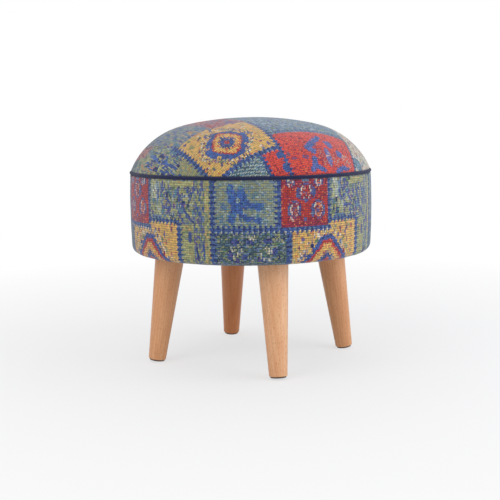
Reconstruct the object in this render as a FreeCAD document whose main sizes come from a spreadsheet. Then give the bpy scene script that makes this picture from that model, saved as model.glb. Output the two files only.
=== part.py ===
# Round upholstered stool: two round boards held apart by six posts, a hardboard hoop and foam
# round them, a domed foam seat, a sewn cover with a piped seam, and four splayed turned legs.
# Millimetres and degrees, +Z up. The origin is on the floor below the middle of the stool,
# -Y is its front, and the legs stand on the diagonals.

import FreeCAD, Part
import math
import os
import re
import Sketcher

Vector = FreeCAD.Vector
Rotation = FreeCAD.Rotation
Placement = FreeCAD.Placement
up = Vector(0, 0, 1)

driving_sizes = {
    # outside of the drum and the crown, measured on the cloth
    "seat_radius": 223.3,
    "band_bulge": 1.7,
    "drum_bottom": 204.7,
    "band_height": 146.8,
    "lower_edge_radius": 14.0,
    "crown_rise": 98.5,
    "crown_radius": 559.6,
    "rim_lean": 21.2,
    # soft layers
    "cover_thickness": 1.2,
    "wadding_thickness": 6.0,
    "padding_thickness": 10.0,
    "soft_gap": 0.3,
    "ply_gap": 0.1,
    # piping in the seam
    "piping_inset": 2.1,
    "cord_radius": 2.2,
    "wrap_thickness": 0.7,
    # wooden drum
    "skin_thickness": 3.0,
    "skin_setback": 3.0,
    "base_thickness": 18.0,
    "top_thickness": 16.0,
    "post_width": 40.0,
    "post_depth": 20.0,
    "post_turn": 7.5,
    # hem, dust cover and staples under the bottom board
    "hem_clearance": 5.1,
    "dust_thickness": 0.8,
    "dust_lap": 14.0,
    "dust_step": 1.5,
    "hem_staple_inset": 5.0,
    "dust_staple_inset": 4.0,
    "staple_width": 10.0,
    "staple_wire": 0.7,
    "staple_length": 8.0,
    # screws
    "screw_radius": 2.0,
    "screw_head_radius": 4.0,
    "screw_head_height": 2.6,
    "screw_point": 3.0,
    "plate_screw_length": 16.0,
    "post_screw_length": 50.0,
    "head_recess": 0.4,
    "screw_clearance": 0.2,
    # leg plates and hanger bolts
    "leg_turn": 45.0,
    "leg_inset": 53.5,
    "leg_splay": 8.5,
    "plate_size": 60.0,
    "plate_thickness": 2.5,
    "plate_corner_radius": 6.0,
    "plate_hole_edge": 6.0,
    "boss_radius": 17.0,
    "leg_top_clearance": 0.5,
    "bolt_radius": 4.0,
    "bolt_wood_radius": 3.6,
    "bolt_wood_length": 30.0,
    "bolt_end": 10.0,
    "bolt_hole_radius": 7.0,
    "bolt_chamfer": 0.8,
    "fit_gap": 0.05,
    # turned legs and pads
    "leg_top_radius": 27.0,
    "leg_foot_radius": 16.1,
    "leg_edge": 1.0,
    "pad_radius": 14.0,
    "pad_thickness": 2.5,
}

post_count = 6
hem_staple_count = 24
dust_staple_count = 24
leg_names = ("back_right", "back_left", "front_left", "front_right")

# how a sketch numbers the points of an edge
edge_start = 1
edge_end = 2
edge_centre = 3

doc = FreeCAD.newDocument("stool")
sizes = doc.addObject("Spreadsheet::Sheet", "sizes")
for row, (alias, number) in enumerate(driving_sizes.items(), start=1):
    sizes.set("A%d" % row, alias)
    sizes.set("B%d" % row, str(number))
    sizes.setAlias("B%d" % row, alias)
doc.recompute()


def bound(formula):
    """A formula of sheet names, written so that an object's expression can read it."""
    return re.sub(r"[a-z]+(?:_[a-z]+)+", lambda name: "sizes." + name.group(0), formula)


def value(formula):
    return float(sizes.evalExpression(bound(formula)))


# Radii of the drum's layers, from the cloth inwards
padding_outer = "(seat_radius - cover_thickness - soft_gap)"
skin_outer = f"({padding_outer} - padding_thickness - staple_wire)"
board_radius = f"({skin_outer} - skin_thickness - ply_gap)"
allowance_radius = f"({board_radius} + soft_gap)"

# Heights of the drum's layers
seam_height = "(drum_bottom + band_height)"
board_bottom = "(drum_bottom + cover_thickness)"
flange_half = "(wrap_thickness + ply_gap / 2)"
upper_allowance = f"({seam_height} + {flange_half} + ply_gap)"
lower_allowance = f"({seam_height} - {flange_half} - ply_gap)"
deck_height = f"({upper_allowance} + cover_thickness + ply_gap)"
corner_height = "(drum_bottom + lower_edge_radius)"
post_bottom = f"({board_bottom} + base_thickness)"
post_height = f"({deck_height} - top_thickness - {post_bottom})"

# Piping: a cord in a folded strip, whose flange is sewn between the seat cover and the band
piping_radius = "(cord_radius + soft_gap + wrap_thickness)"
seam_radius = "(seat_radius - piping_inset)"
tuck_radius = f"({seam_radius} - {piping_radius} - ply_gap)"
tuck_inner = f"({tuck_radius} - cover_thickness)"
cover_foot = f"({seam_height} + {piping_radius} + ply_gap)"
band_head = f"({seam_height} - {piping_radius} - ply_gap)"

# Crown: a large arc over the middle, and a smaller one that meets it smoothly and comes down to
# the seam leaning in by rim_lean. The smaller radius follows from the rise and the large radius.
shoulder_radius = (
    "((seat_radius ^ 2 + crown_rise ^ 2 - 2 * crown_radius * crown_rise)"
    " / (2 * (seat_radius * cos(rim_lean) - crown_rise * sin(rim_lean)"
    " - crown_radius * (1 - sin(rim_lean)))))")
shoulder_x = f"(seat_radius - {shoulder_radius} * cos(rim_lean))"
shoulder_z = f"({seam_height} - {shoulder_radius} * sin(rim_lean))"
top_height = f"({seam_height} + crown_rise)"
crown_z = f"({top_height} - crown_radius)"

# Legs: where a leg's axis crosses the top of its plate, and where it meets the floor
plate_top = f"({board_bottom} - dust_thickness)"
plate_circle = f"({board_radius} - leg_inset)"
plate_hole_pitch = "(plate_size - 2 * plate_hole_edge)"
boss_reach = (
    "((plate_thickness + leg_top_clearance + leg_top_radius * sin(leg_splay))"
    " / cos(leg_splay))")
foot_reach = f"({plate_top} / cos(leg_splay) - pad_radius * tan(leg_splay))"
leg_length = f"({foot_reach} - {boss_reach} - pad_thickness)"
hem_radius = f"({plate_circle} + plate_size / 2 + hem_clearance)"
hem_staple_circle = f"({hem_radius} + hem_staple_inset)"
dust_radius = f"({hem_radius} + dust_lap)"
dust_staple_circle = f"({dust_radius} - dust_staple_inset)"
post_circle = (
    f"(sqrt(({board_radius} - ply_gap) ^ 2 - (post_width / 2) ^ 2) - post_depth / 2)")


def closed_outline(sketch, corners):
    """Closed outline of lines and arcs. A corner is (x, z), or (x, z, radius, side) where the edge
    that leaves it is an arc; side is 1 for an arc that turns left and -1 for one that turns right."""
    points = [Vector(value(corner[0]), value(corner[1]), 0) for corner in corners]
    starts = []
    ends = []
    for number, corner in enumerate(corners):
        start = points[number]
        end = points[(number + 1) % len(points)]
        if len(corner) == 2:
            edge = sketch.addGeometry(Part.LineSegment(start, end), False)
            starts.append((edge, edge_start))
            ends.append((edge, edge_end))
            continue
        radius_formula, side = corner[2:]
        radius = value(radius_formula)
        chord = end - start
        across = Vector(-chord.y, chord.x, 0).normalize() * side
        centre = start + chord * 0.5 + across * math.sqrt(radius ** 2 - (chord.Length / 2) ** 2)
        angles = [math.atan2(point.y - centre.y, point.x - centre.x) for point in (start, end)]
        if side < 0:
            angles.reverse()
        circle = Part.Circle(centre, up, radius)
        edge = sketch.addGeometry(Part.ArcOfCircle(circle, angles[0], angles[1]), False)
        starts.append((edge, edge_start if side > 0 else edge_end))
        ends.append((edge, edge_end if side > 0 else edge_start))
        hold(sketch, ("Radius", edge), radius_formula)
    for number, corner in enumerate(corners):
        edge, end_of_edge = starts[number]
        sketch.addConstraint(Sketcher.Constraint("Coincident", *ends[number - 1], edge, end_of_edge))
        place_point(sketch, edge, end_of_edge, corner[0], corner[1])


def hold(sketch, kind_and_parts, formula):
    """Adds one dimension to a sketch and binds it to its formula."""
    number = sketch.addConstraint(Sketcher.Constraint(*kind_and_parts, value(formula)))
    sketch.setExpression("Constraints[%d]" % number, bound(formula))


def place_point(sketch, edge, end_of_edge, x_formula, z_formula):
    for kind, axis, formula in (("DistanceX", -2, x_formula), ("DistanceY", -1, z_formula)):
        if formula == "0":
            sketch.addConstraint(Sketcher.Constraint("PointOnObject", edge, end_of_edge, axis))
        elif value(formula) > 0:
            hold(sketch, (kind, -1, edge_start, edge, end_of_edge), formula)
        else:
            hold(sketch, (kind, edge, end_of_edge, -1, edge_start), f"(0 - {formula})")


def origin_feature(body, role):
    return [feature for feature in body.Origin.OriginFeatures if feature.Role == role][0]


def new_sketch(body, label, role, height=None, turn=None):
    """Sketch on one of the body's own planes, raised by height and turned about the stool's axis."""
    sketch = body.newObject("Sketcher::SketchObject", label)
    sketch.AttachmentSupport = [(origin_feature(body, role), "")]
    sketch.MapMode = "FlatFace"
    if turn is not None:
        sketch.AttachmentOffset = Placement(Vector(0, 0, 0), Rotation(up, value(turn)))
    if height is not None:
        sketch.setExpression("AttachmentOffset.Base.z", bound(height))
    return sketch


def new_body(label, place=None):
    body = doc.addObject("PartDesign::Body", label)
    body.Label = label
    if place is not None:
        body.Placement = place
    return body


def turned(label, corners, place=None):
    """A solid of revolution about its body's Z axis."""
    body = new_body(label, place)
    sketch = new_sketch(body, label + "_outline", "XZ_Plane")
    closed_outline(sketch, corners)
    revolution = body.newObject("PartDesign::Revolution", label + "_turning")
    revolution.Profile = sketch
    revolution.ReferenceAxis = (sketch, ["V_Axis"])
    revolution.Angle = 360
    doc.recompute()
    return body


def circle_in(sketch, radius, x, y="0"):
    centre = Vector(value(x), value(y), 0)
    edge = sketch.addGeometry(Part.Circle(centre, up, value(radius)), False)
    hold(sketch, ("Radius", edge), radius)
    place_point(sketch, edge, edge_centre, x, y)


def square_in(sketch, side, x, y):
    half = f"({side} / 2)"
    corners = [
        (f"({x} - {half})", f"({y} - {half})"),
        (f"({x} + {half})", f"({y} - {half})"),
        (f"({x} + {half})", f"({y} + {half})"),
        (f"({x} - {half})", f"({y} + {half})")]
    closed_outline(sketch, corners)


def cut_round(body, label, count, height, depth, draw, turn=None, downwards=False):
    """Cuts what draw() draws, at a height and to a depth, and repeats it round the stool's axis."""
    before = body.Shape.Volume
    sketch = new_sketch(body, label + "_outline", "XY_Plane", height, turn)
    draw(sketch)
    pocket = body.newObject("PartDesign::Pocket", label)
    pocket.Profile = sketch
    pocket.Reversed = not downwards
    pocket.Length = value(depth)
    pocket.setExpression("Length", bound(depth))
    doc.recompute()
    pattern = body.newObject("PartDesign::PolarPattern", label + "_round")
    pattern.Originals = [pocket]
    pattern.Axis = (origin_feature(body, "Z_Axis"), [""])
    pattern.Angle = 360
    pattern.Occurrences = count
    body.Tip = pattern
    doc.recompute()
    if not before - body.Shape.Volume > 0:
        raise RuntimeError(label + " cuts nothing")


def turn_about_axis(angle):
    return Placement(Vector(0, 0, 0), Rotation(up, angle))


frame_turn = turn_about_axis(value("leg_turn"))


def crown_corner(depth):
    """Where the two arcs of the crown meet, depth below the outside of the cloth."""
    share = f"((crown_radius - {depth}) / (crown_radius - {shoulder_radius}))"
    return f"({shoulder_x} * {share})", f"({crown_z} + ({shoulder_z} - {crown_z}) * {share})"


def shoulder_at(depth, height):
    """Radius of the crown at a height, depth below the outside of the cloth."""
    return (f"({shoulder_x} + sqrt(({shoulder_radius} - {depth}) ^ 2"
            f" - ({height} - {shoulder_z}) ^ 2))")


def crown_down(depth, height):
    """Outline of the crown from its top down to a height."""
    x, z = crown_corner(depth)
    return [
        ("0", f"({top_height} - {depth})", f"(crown_radius - {depth})", -1),
        (x, z, f"({shoulder_radius} - {depth})", -1),
        (shoulder_at(depth, height), height)]


def crown_up(depth, height):
    """The same outline from a height up to the top."""
    x, z = crown_corner(depth)
    return [
        (shoulder_at(depth, height), height, f"({shoulder_radius} - {depth})", 1),
        (x, z, f"(crown_radius - {depth})", 1),
        ("0", f"({top_height} - {depth})")]


def make_top_cover():
    allowance_top = f"({upper_allowance} + cover_thickness)"
    turned("top_cover", crown_down("0", cover_foot) + [
        (tuck_radius, cover_foot),
        (tuck_radius, upper_allowance),
        (allowance_radius, upper_allowance),
        (allowance_radius, allowance_top),
        (tuck_inner, allowance_top),
        (tuck_inner, f"({cover_foot} + cover_thickness)")]
        + crown_up("cover_thickness", f"({cover_foot} + cover_thickness)"))


def make_seat_wadding():
    outer = "(cover_thickness + soft_gap)"
    inner = f"({outer} + wadding_thickness)"
    foot = f"({cover_foot} + cover_thickness + ply_gap)"
    turned("seat_wadding", crown_down(outer, foot) + crown_up(inner, foot))


def make_seat_foam():
    depth = "(cover_thickness + soft_gap + wadding_thickness + soft_gap)"
    turned("seat_foam", crown_down(depth, deck_height) + [("0", deck_height)])


def bulge_radius(head):
    """Radius of the band's slight swelling between its lower corner and its head."""
    return f"(({head} - {corner_height}) ^ 2 / (8 * band_bulge) + band_bulge / 2)"


def make_side_band():
    corner_x = "(seat_radius - lower_edge_radius)"
    head_inner = f"({band_head} - cover_thickness)"
    band = turned("side_band", [
        ("seat_radius", band_head, bulge_radius(band_head), -1),
        ("seat_radius", corner_height, "lower_edge_radius", -1),
        (corner_x, "drum_bottom"),
        (hem_radius, "drum_bottom"),
        (hem_radius, board_bottom),
        (corner_x, board_bottom, "(lower_edge_radius - cover_thickness)", 1),
        ("(seat_radius - cover_thickness)", corner_height, bulge_radius(head_inner), 1),
        ("(seat_radius - cover_thickness)", head_inner),
        (tuck_inner, head_inner),
        (tuck_inner, f"({lower_allowance} - cover_thickness)"),
        (allowance_radius, f"({lower_allowance} - cover_thickness)"),
        (allowance_radius, lower_allowance),
        (tuck_radius, lower_allowance),
        (tuck_radius, band_head)], frame_turn)
    cut_round(band, "hem_slots", hem_staple_count, "drum_bottom", "cover_thickness",
              staple_legs_at(hem_staple_circle))
    cut_round(band, "hem_dust_slots", dust_staple_count, "drum_bottom", "cover_thickness",
              staple_legs_at(dust_staple_circle))


def make_side_padding():
    head = f"({band_head} - cover_thickness - ply_gap)"
    corner_inner = "(lower_edge_radius - cover_thickness - soft_gap)"
    foot = f"({corner_height} - {corner_inner})"
    hoop_side = f"({skin_outer} + staple_wire)"
    hoop_foot = f"({board_bottom} + skin_setback - ply_gap)"
    turned("side_padding", [
        (padding_outer, head, bulge_radius(head), -1),
        (padding_outer, corner_height, corner_inner, -1),
        ("(seat_radius - lower_edge_radius)", foot),
        (allowance_radius, foot),
        (allowance_radius, hoop_foot),
        (hoop_side, hoop_foot),
        (hoop_side, head)])


def make_frame_skin():
    foot = f"({board_bottom} + skin_setback)"
    head = f"({lower_allowance} - cover_thickness - ply_gap)"
    inner = f"({board_radius} + ply_gap)"
    turned("frame_skin", [(inner, foot), (skin_outer, foot), (skin_outer, head), (inner, head)])


def make_piping():
    flange_top = f"({seam_height} + {flange_half})"
    flange_foot = f"({seam_height} - {flange_half})"
    slot_top = f"({seam_height} + ply_gap / 2)"
    slot_foot = f"({seam_height} - ply_gap / 2)"
    bore = "(cord_radius + soft_gap)"
    neck = f"({seam_radius} - sqrt({piping_radius} ^ 2 - {flange_half} ^ 2))"
    slot_mouth = f"({seam_radius} - sqrt({bore} ^ 2 - (ply_gap / 2) ^ 2))"
    turned("piping_wrap", [
        (allowance_radius, flange_top),
        (neck, flange_top, piping_radius, -1),
        (f"({seam_radius} + {piping_radius})", seam_height, piping_radius, -1),
        (neck, flange_foot),
        (allowance_radius, flange_foot),
        (allowance_radius, slot_foot),
        (slot_mouth, slot_foot, bore, 1),
        (f"({seam_radius} + {bore})", seam_height, bore, 1),
        (slot_mouth, slot_top),
        (allowance_radius, slot_top)])
    cord = doc.addObject("Part::Torus", "piping_cord")
    cord.Label = "piping_cord"
    cord.setExpression("Radius1", bound(seam_radius))
    cord.setExpression("Radius2", "sizes.cord_radius")
    cord.Placement = Placement(Vector(0, 0, value(seam_height)), Rotation())


def disc(label, radius, height, thickness):
    body = new_body(label, frame_turn)
    sketch = new_sketch(body, label + "_outline", "XY_Plane", height)
    circle_in(sketch, radius, "0")
    pad = body.newObject("PartDesign::Pad", label + "_disc")
    pad.Profile = sketch
    pad.Length = value(thickness)
    pad.setExpression("Length", bound(thickness))
    doc.recompute()
    return body


def plate_hole_places():
    half = f"({plate_hole_pitch} / 2)"
    return [(f"({plate_circle} + {side} * {half})", f"({end} * {half})")
            for side in (-1, 1) for end in (-1, 1)]


def plate_screw_holes(radius):
    def draw(sketch):
        for x, y in plate_hole_places():
            circle_in(sketch, radius, x, y)
    return draw


def hole_at(radius, x):
    return lambda sketch: circle_in(sketch, radius, x)


def staple_legs_at(circle):
    """The two slots that a staple's legs need, in line round the stool."""
    reach = "(staple_width / 2 - staple_wire / 2)"
    slot = "(staple_wire + ply_gap)"

    def draw(sketch):
        square_in(sketch, slot, circle, reach)
        square_in(sketch, slot, circle, f"(0 - {reach})")
    return draw


def make_boards():
    screw_hole = "(screw_radius + fit_gap)"
    head_hole = "(screw_head_radius + screw_clearance)"
    head_depth = "(screw_head_height + head_recess)"
    base = disc("base_board", board_radius, board_bottom, "base_thickness")
    cut_round(base, "bolt_holes", len(leg_names), board_bottom, "base_thickness",
              hole_at("bolt_hole_radius", plate_circle))
    cut_round(base, "plate_screw_holes", len(leg_names), board_bottom, "plate_screw_length",
              plate_screw_holes(screw_hole))
    cut_round(base, "post_screw_holes", post_count, board_bottom, "base_thickness",
              hole_at(screw_hole, post_circle), "post_turn")
    cut_round(base, "post_screw_heads", post_count, board_bottom, head_depth,
              hole_at(head_hole, post_circle), "post_turn")
    cut_round(base, "hem_staple_slots", hem_staple_count, board_bottom, "staple_length",
              staple_legs_at(hem_staple_circle))
    cut_round(base, "dust_staple_slots", dust_staple_count, board_bottom, "staple_length",
              staple_legs_at(dust_staple_circle))
    top = disc("top_board", board_radius, f"({deck_height} - top_thickness)", "top_thickness")
    cut_round(top, "top_screw_holes", post_count, deck_height, "top_thickness",
              hole_at(screw_hole, post_circle), "post_turn", downwards=True)
    cut_round(top, "top_screw_heads", post_count, deck_height, head_depth,
              hole_at(head_hole, post_circle), "post_turn", downwards=True)


def make_dust_cover():
    """Cloth that lies flat on the board and steps down over the hem and its staples."""
    ring_top = "(drum_bottom - staple_wire)"
    step_start = f"({hem_radius} - ply_gap - dust_step)"
    step_end = f"({hem_radius} - ply_gap)"
    cover = turned("dust_cover", [
        ("0", board_bottom),
        ("0", plate_top),
        (step_start, plate_top),
        (step_end, f"({ring_top} - dust_thickness)"),
        (dust_radius, f"({ring_top} - dust_thickness)"),
        (dust_radius, ring_top),
        (step_end, ring_top),
        (step_start, board_bottom)], frame_turn)
    ring_foot = f"({ring_top} - dust_thickness)"
    cut_round(cover, "dust_bolt_holes", len(leg_names), plate_top, "dust_thickness",
              hole_at("bolt_hole_radius", plate_circle))
    cut_round(cover, "dust_screw_holes", len(leg_names), plate_top, "dust_thickness",
              plate_screw_holes("(screw_radius + screw_clearance)"))
    cut_round(cover, "dust_slots", dust_staple_count, ring_foot, "dust_thickness",
              staple_legs_at(dust_staple_circle))


def make_posts():
    """Posts with a pilot hole in each end, on a circle just inside the hoop."""
    screw_reach = "head_recess + screw_head_height + post_screw_length"
    ends = (("foot", post_bottom, f"({screw_reach} - base_thickness)"),
            ("head", f"({post_bottom} + {post_height})", f"({screw_reach} - top_thickness)"))
    for number in range(post_count):
        angle = value("leg_turn") + value("post_turn") + number * 360 / post_count
        label = "post_%d" % (number + 1)
        body = new_body(label, turn_about_axis(angle))
        outline = new_sketch(body, label + "_outline", "XY_Plane", post_bottom)
        half_depth = "(post_depth / 2)"
        half_width = "(post_width / 2)"
        closed_outline(outline, [
            (f"({post_circle} - {half_depth})", f"(0 - {half_width})"),
            (f"({post_circle} + {half_depth})", f"(0 - {half_width})"),
            (f"({post_circle} + {half_depth})", half_width),
            (f"({post_circle} - {half_depth})", half_width)])
        pad = body.newObject("PartDesign::Pad", label + "_length")
        pad.Profile = outline
        pad.Length = value(post_height)
        pad.setExpression("Length", bound(post_height))
        doc.recompute()
        for end, height, pilot_depth in ends:
            before = body.Shape.Volume
            sketch = new_sketch(body, label + "_" + end + "_outline", "XY_Plane", height)
            circle_in(sketch, "(screw_radius + fit_gap)", post_circle)
            pocket = body.newObject("PartDesign::Pocket", label + "_" + end + "_pilot")
            pocket.Profile = sketch
            pocket.Reversed = end == "foot"
            pocket.Length = value(pilot_depth)
            pocket.setExpression("Length", bound(pilot_depth))
            doc.recompute()
            if not before > body.Shape.Volume:
                raise RuntimeError(label + " has no pilot hole")


def group(label, pattern, places):
    """Identical separate solids as one node, copied from a finished pattern piece."""
    copies = []
    for place in places:
        copy = pattern.Shape.copy()
        copy.Placement = place
        copies.append(copy)
    node = doc.addObject("Part::Feature", label)
    node.Label = label
    node.Shape = Part.Compound(copies)


def screw_pattern(label, length):
    """Pan-head wood screw, its outer face at zero and its point upwards."""
    shank_end = f"(screw_head_height + {length} - screw_point)"
    return turned(label, [
        ("0", "0"),
        ("(screw_head_radius - head_recess)", "0"),
        ("screw_head_radius", "head_recess"),
        ("screw_head_radius", "screw_head_height"),
        ("screw_radius", "screw_head_height"),
        ("screw_radius", shank_end),
        ("0", f"({shank_end} + screw_point)")])


def staple_pattern():
    """U-shaped staple, its crown at zero and its legs upwards, in the XZ plane."""
    body = new_body("staple_pattern")
    sketch = new_sketch(body, "staple_outline", "XZ_Plane")
    half = "(staple_width / 2)"
    inner = f"({half} - staple_wire)"
    closed_outline(sketch, [
        (f"(0 - {half})", "0"),
        (half, "0"),
        (half, "staple_length"),
        (inner, "staple_length"),
        (inner, "staple_wire"),
        (f"(0 - {inner})", "staple_wire"),
        (f"(0 - {inner})", "staple_length"),
        (f"(0 - {half})", "staple_length")])
    pad = body.newObject("PartDesign::Pad", "staple_width_pad")
    pad.Profile = sketch
    pad.Midplane = True
    pad.Length = value("staple_wire")
    pad.setExpression("Length", "sizes.staple_wire")
    doc.recompute()
    return body


def make_staples():
    pattern = staple_pattern()
    crown_height = {"hem_staples": value("drum_bottom - staple_wire"),
                    "dust_staples": value("drum_bottom - staple_wire - dust_thickness - staple_wire")}
    circle = {"hem_staples": value(hem_staple_circle), "dust_staples": value(dust_staple_circle)}
    count = {"hem_staples": hem_staple_count, "dust_staples": dust_staple_count}
    for label in crown_height:
        places = []
        for number in range(count[label]):
            swing = turn_about_axis(value("leg_turn") + number * 360 / count[label])
            at_circle = Placement(Vector(circle[label], 0, crown_height[label]), Rotation(up, 90))
            places.append(swing.multiply(at_circle))
        group(label, pattern, places)


def make_post_screws():
    pattern = screw_pattern("post_screw_pattern", "post_screw_length")
    sunk = value("head_recess")
    radius = value(post_circle)
    point_down = Rotation(Vector(1, 0, 0), 180)
    ends = {"base_screws": Placement(Vector(radius, 0, value(board_bottom) + sunk), Rotation()),
            "top_screws": Placement(Vector(radius, 0, value(deck_height) - sunk), point_down)}
    for label, end in ends.items():
        angles = [value("leg_turn") + value("post_turn") + number * 360 / post_count
                  for number in range(post_count)]
        group(label, pattern, [turn_about_axis(angle).multiply(end) for angle in angles])


def plate_frame(number):
    """Middle of a leg plate's upper face; its X axis points away from the stool's axis."""
    out = Placement(Vector(value(plate_circle), 0, value(plate_top)), Rotation())
    return turn_about_axis(value("leg_turn") + number * 360 / len(leg_names)).multiply(out)


def foot_frame(number):
    """Middle of a pad's lower face; its Z axis runs up the leg's axis."""
    lean = Placement(Vector(0, 0, 0), Rotation(Vector(0, 1, 0), -value("leg_splay")))
    down = Placement(Vector(0, 0, -value(foot_reach)), Rotation())
    return plate_frame(number).multiply(lean).multiply(down)


def make_leg(number, name):
    """Tapered leg with a pilot hole for its bolt in the upper end."""
    foot = "pad_thickness"
    head = f"(pad_thickness + {leg_length})"
    hole = "(bolt_wood_radius + fit_gap)"
    hole_foot = f"({head} - bolt_wood_length - fit_gap)"
    turned("leg_" + name, [
        ("0", foot),
        ("(leg_foot_radius - leg_edge)", foot),
        ("leg_foot_radius", f"({foot} + leg_edge)"),
        ("leg_top_radius", f"({head} - leg_edge)"),
        ("(leg_top_radius - leg_edge)", head),
        (hole, head),
        (hole, hole_foot),
        ("0", hole_foot)], foot_frame(number))


def make_felt_pad(number, name):
    pad = doc.addObject("Part::Cylinder", "felt_pad_" + name)
    pad.Label = "felt_pad_" + name
    pad.setExpression("Radius", "sizes.pad_radius")
    pad.setExpression("Height", "sizes.pad_thickness")
    pad.Placement = foot_frame(number)


def make_hanger_bolt(number, name):
    """Pointed wood thread below the leg's upper face, machine thread above it."""
    collar = f"(pad_thickness + {leg_length})"
    tip = f"({collar} - bolt_wood_length)"
    end = f"({collar} + {boss_reach} + bolt_end)"
    turned("hanger_bolt_" + name, [
        ("0", tip),
        ("bolt_wood_radius", f"({tip} + bolt_wood_radius)"),
        ("bolt_wood_radius", collar),
        ("bolt_radius", collar),
        ("bolt_radius", f"({end} - bolt_chamfer)"),
        ("(bolt_radius - bolt_chamfer)", end),
        ("0", end)], foot_frame(number))


def plain_cylinder(label, radius, height, place):
    cylinder = doc.addObject("Part::Cylinder", label)
    cylinder.setExpression("Radius", bound(radius))
    cylinder.setExpression("Height", bound(height))
    cylinder.Placement = place
    return cylinder


def plain_box(label, side, height, place):
    """Square box, centred on its place and hanging below it."""
    box = doc.addObject("Part::Box", label)
    box.setExpression("Length", bound(side))
    box.setExpression("Width", bound(side))
    box.setExpression("Height", bound(height))
    half = value(side) / 2
    box.Placement = place.multiply(Placement(Vector(-half, -half, -value(height)), Rotation()))
    return box


def joined(kind, label, parts):
    feature = doc.addObject(kind, label)
    if kind == "Part::MultiFuse":
        feature.Shapes = parts
    else:
        feature.Base, feature.Tool = parts
    return feature


def make_leg_plate(number, name):
    """Square plate with rounded corners and an inclined threaded boss square to the leg."""
    label = "leg_plate_" + name
    place = plate_frame(number)
    sheet = plain_box(label + "_sheet", "plate_size", "plate_thickness", place)
    doc.recompute()
    upright = [index for index, edge in enumerate(sheet.Shape.Edges, start=1)
               if abs(edge.Length - value("plate_thickness")) < value("fit_gap")]
    rounded = doc.addObject("Part::Fillet", label + "_corners")
    rounded.Base = sheet
    corner = value("plate_corner_radius")
    rounded.Edges = [(index, corner, corner) for index in upright]
    below = Rotation(Vector(0, 1, 0), 180 - value("leg_splay"))
    start = Placement(Vector(0, 0, 0), below)
    overlap = "(boss_radius * tan(leg_splay))"
    raised = place.multiply(start).multiply(Placement(Vector(0, 0, -value(overlap)), Rotation()))
    boss = plain_cylinder(label + "_boss", "boss_radius", f"({boss_reach} + {overlap})", raised)
    under = plain_box(label + "_under", "plate_size", "plate_size", place)
    boss_trim = joined("Part::Common", label + "_boss_trim", (boss, under))
    blank = joined("Part::MultiFuse", label + "_blank", [rounded, boss_trim])
    long = f"({boss_reach} + {overlap} + bolt_end)"
    holes = [plain_cylinder(label + "_thread", "(bolt_radius + fit_gap)", long, raised)]
    half = value(plate_hole_pitch) / 2
    thickness = value("plate_thickness")
    for x in (-half, half):
        for y in (-half, half):
            at_hole = place.multiply(Placement(Vector(x, y, -thickness), Rotation()))
            holes.append(plain_cylinder(label + "_hole", "(screw_radius + screw_clearance)",
                                        "plate_thickness", at_hole))
    tools = joined("Part::MultiFuse", label + "_holes", holes)
    plate = joined("Part::Cut", label, (blank, tools))
    plate.Label = label


def make_plate_screws():
    pattern = screw_pattern("plate_screw_pattern", "plate_screw_length - plate_thickness")
    half = value(plate_hole_pitch) / 2
    head = -value("plate_thickness") - value("screw_head_height")
    places = []
    for number in range(len(leg_names)):
        for x in (-half, half):
            for y in (-half, half):
                at_hole = Placement(Vector(x, y, head), Rotation())
                places.append(plate_frame(number).multiply(at_hole))
    group("plate_screws", pattern, places)


make_top_cover()
make_seat_wadding()
make_seat_foam()
make_side_band()
make_side_padding()
make_frame_skin()
make_piping()
make_boards()
make_dust_cover()
make_posts()
make_staples()
make_post_screws()
for number, name in enumerate(leg_names):
    make_leg(number, name)
    make_felt_pad(number, name)
    make_hanger_bolt(number, name)
    make_leg_plate(number, name)
make_plate_screws()
doc.recompute()

nodes = (
    ["top_cover", "seat_wadding", "seat_foam", "side_band", "side_padding", "frame_skin",
     "piping_wrap", "piping_cord", "base_board", "top_board", "dust_cover", "hem_staples",
     "dust_staples", "base_screws", "top_screws", "plate_screws"]
    + ["post_%d" % (number + 1) for number in range(post_count)]
    + [kind + name for kind in ("leg_", "felt_pad_", "hanger_bolt_", "leg_plate_")
       for name in leg_names])

for item in doc.Objects:
    if "Invalid" in item.State or "Error" in item.State:
        raise RuntimeError(item.Label + " failed: " + str(item.State))
for label in nodes:
    shape = doc.getObjectsByLabel(label)[0].Shape
    if shape.isNull() or not shape.isValid():
        raise RuntimeError(label + " has no valid shape")

os.makedirs("parts", exist_ok=True)
for label in nodes:
    doc.getObjectsByLabel(label)[0].Shape.exportStep("parts/%s.step" % label)

whole = FreeCAD.BoundBox()
for label in nodes:
    whole.add(doc.getObjectsByLabel(label)[0].Shape.BoundBox)
print("nodes", len(nodes), "box", whole)
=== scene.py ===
# Round upholstered stool: a drum in kilim jacquard with a domed seat, a piped seam between them,
# and four turned beech legs. Metres, floor at zero, the stool's axis upright in the middle.
import math
import bmesh
import bpy
import numpy
from mathutils import Matrix, Vector, noise


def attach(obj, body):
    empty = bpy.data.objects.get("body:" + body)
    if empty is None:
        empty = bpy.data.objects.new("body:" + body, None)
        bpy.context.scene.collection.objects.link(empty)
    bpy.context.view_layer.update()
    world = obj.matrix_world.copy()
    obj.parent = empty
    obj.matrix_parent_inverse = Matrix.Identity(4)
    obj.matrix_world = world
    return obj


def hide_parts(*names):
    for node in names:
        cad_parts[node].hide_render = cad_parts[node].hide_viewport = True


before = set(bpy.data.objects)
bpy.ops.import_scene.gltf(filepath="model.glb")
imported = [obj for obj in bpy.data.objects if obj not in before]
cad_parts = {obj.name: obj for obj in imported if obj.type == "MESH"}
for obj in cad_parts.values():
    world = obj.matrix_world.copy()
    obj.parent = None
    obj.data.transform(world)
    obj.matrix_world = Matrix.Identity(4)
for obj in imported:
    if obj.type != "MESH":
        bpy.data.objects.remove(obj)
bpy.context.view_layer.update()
print("frame loaded,", len(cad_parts), "nodes")

# The camera stands in front of the stool, a little above the seat
photoCamera = {"distance": 1.8359, "height": 0.4603, "turn": 31.2, "tilt": 8.03, "sideways": 0.083,
               "roll": 0.75, "lens": 70.56}

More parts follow.
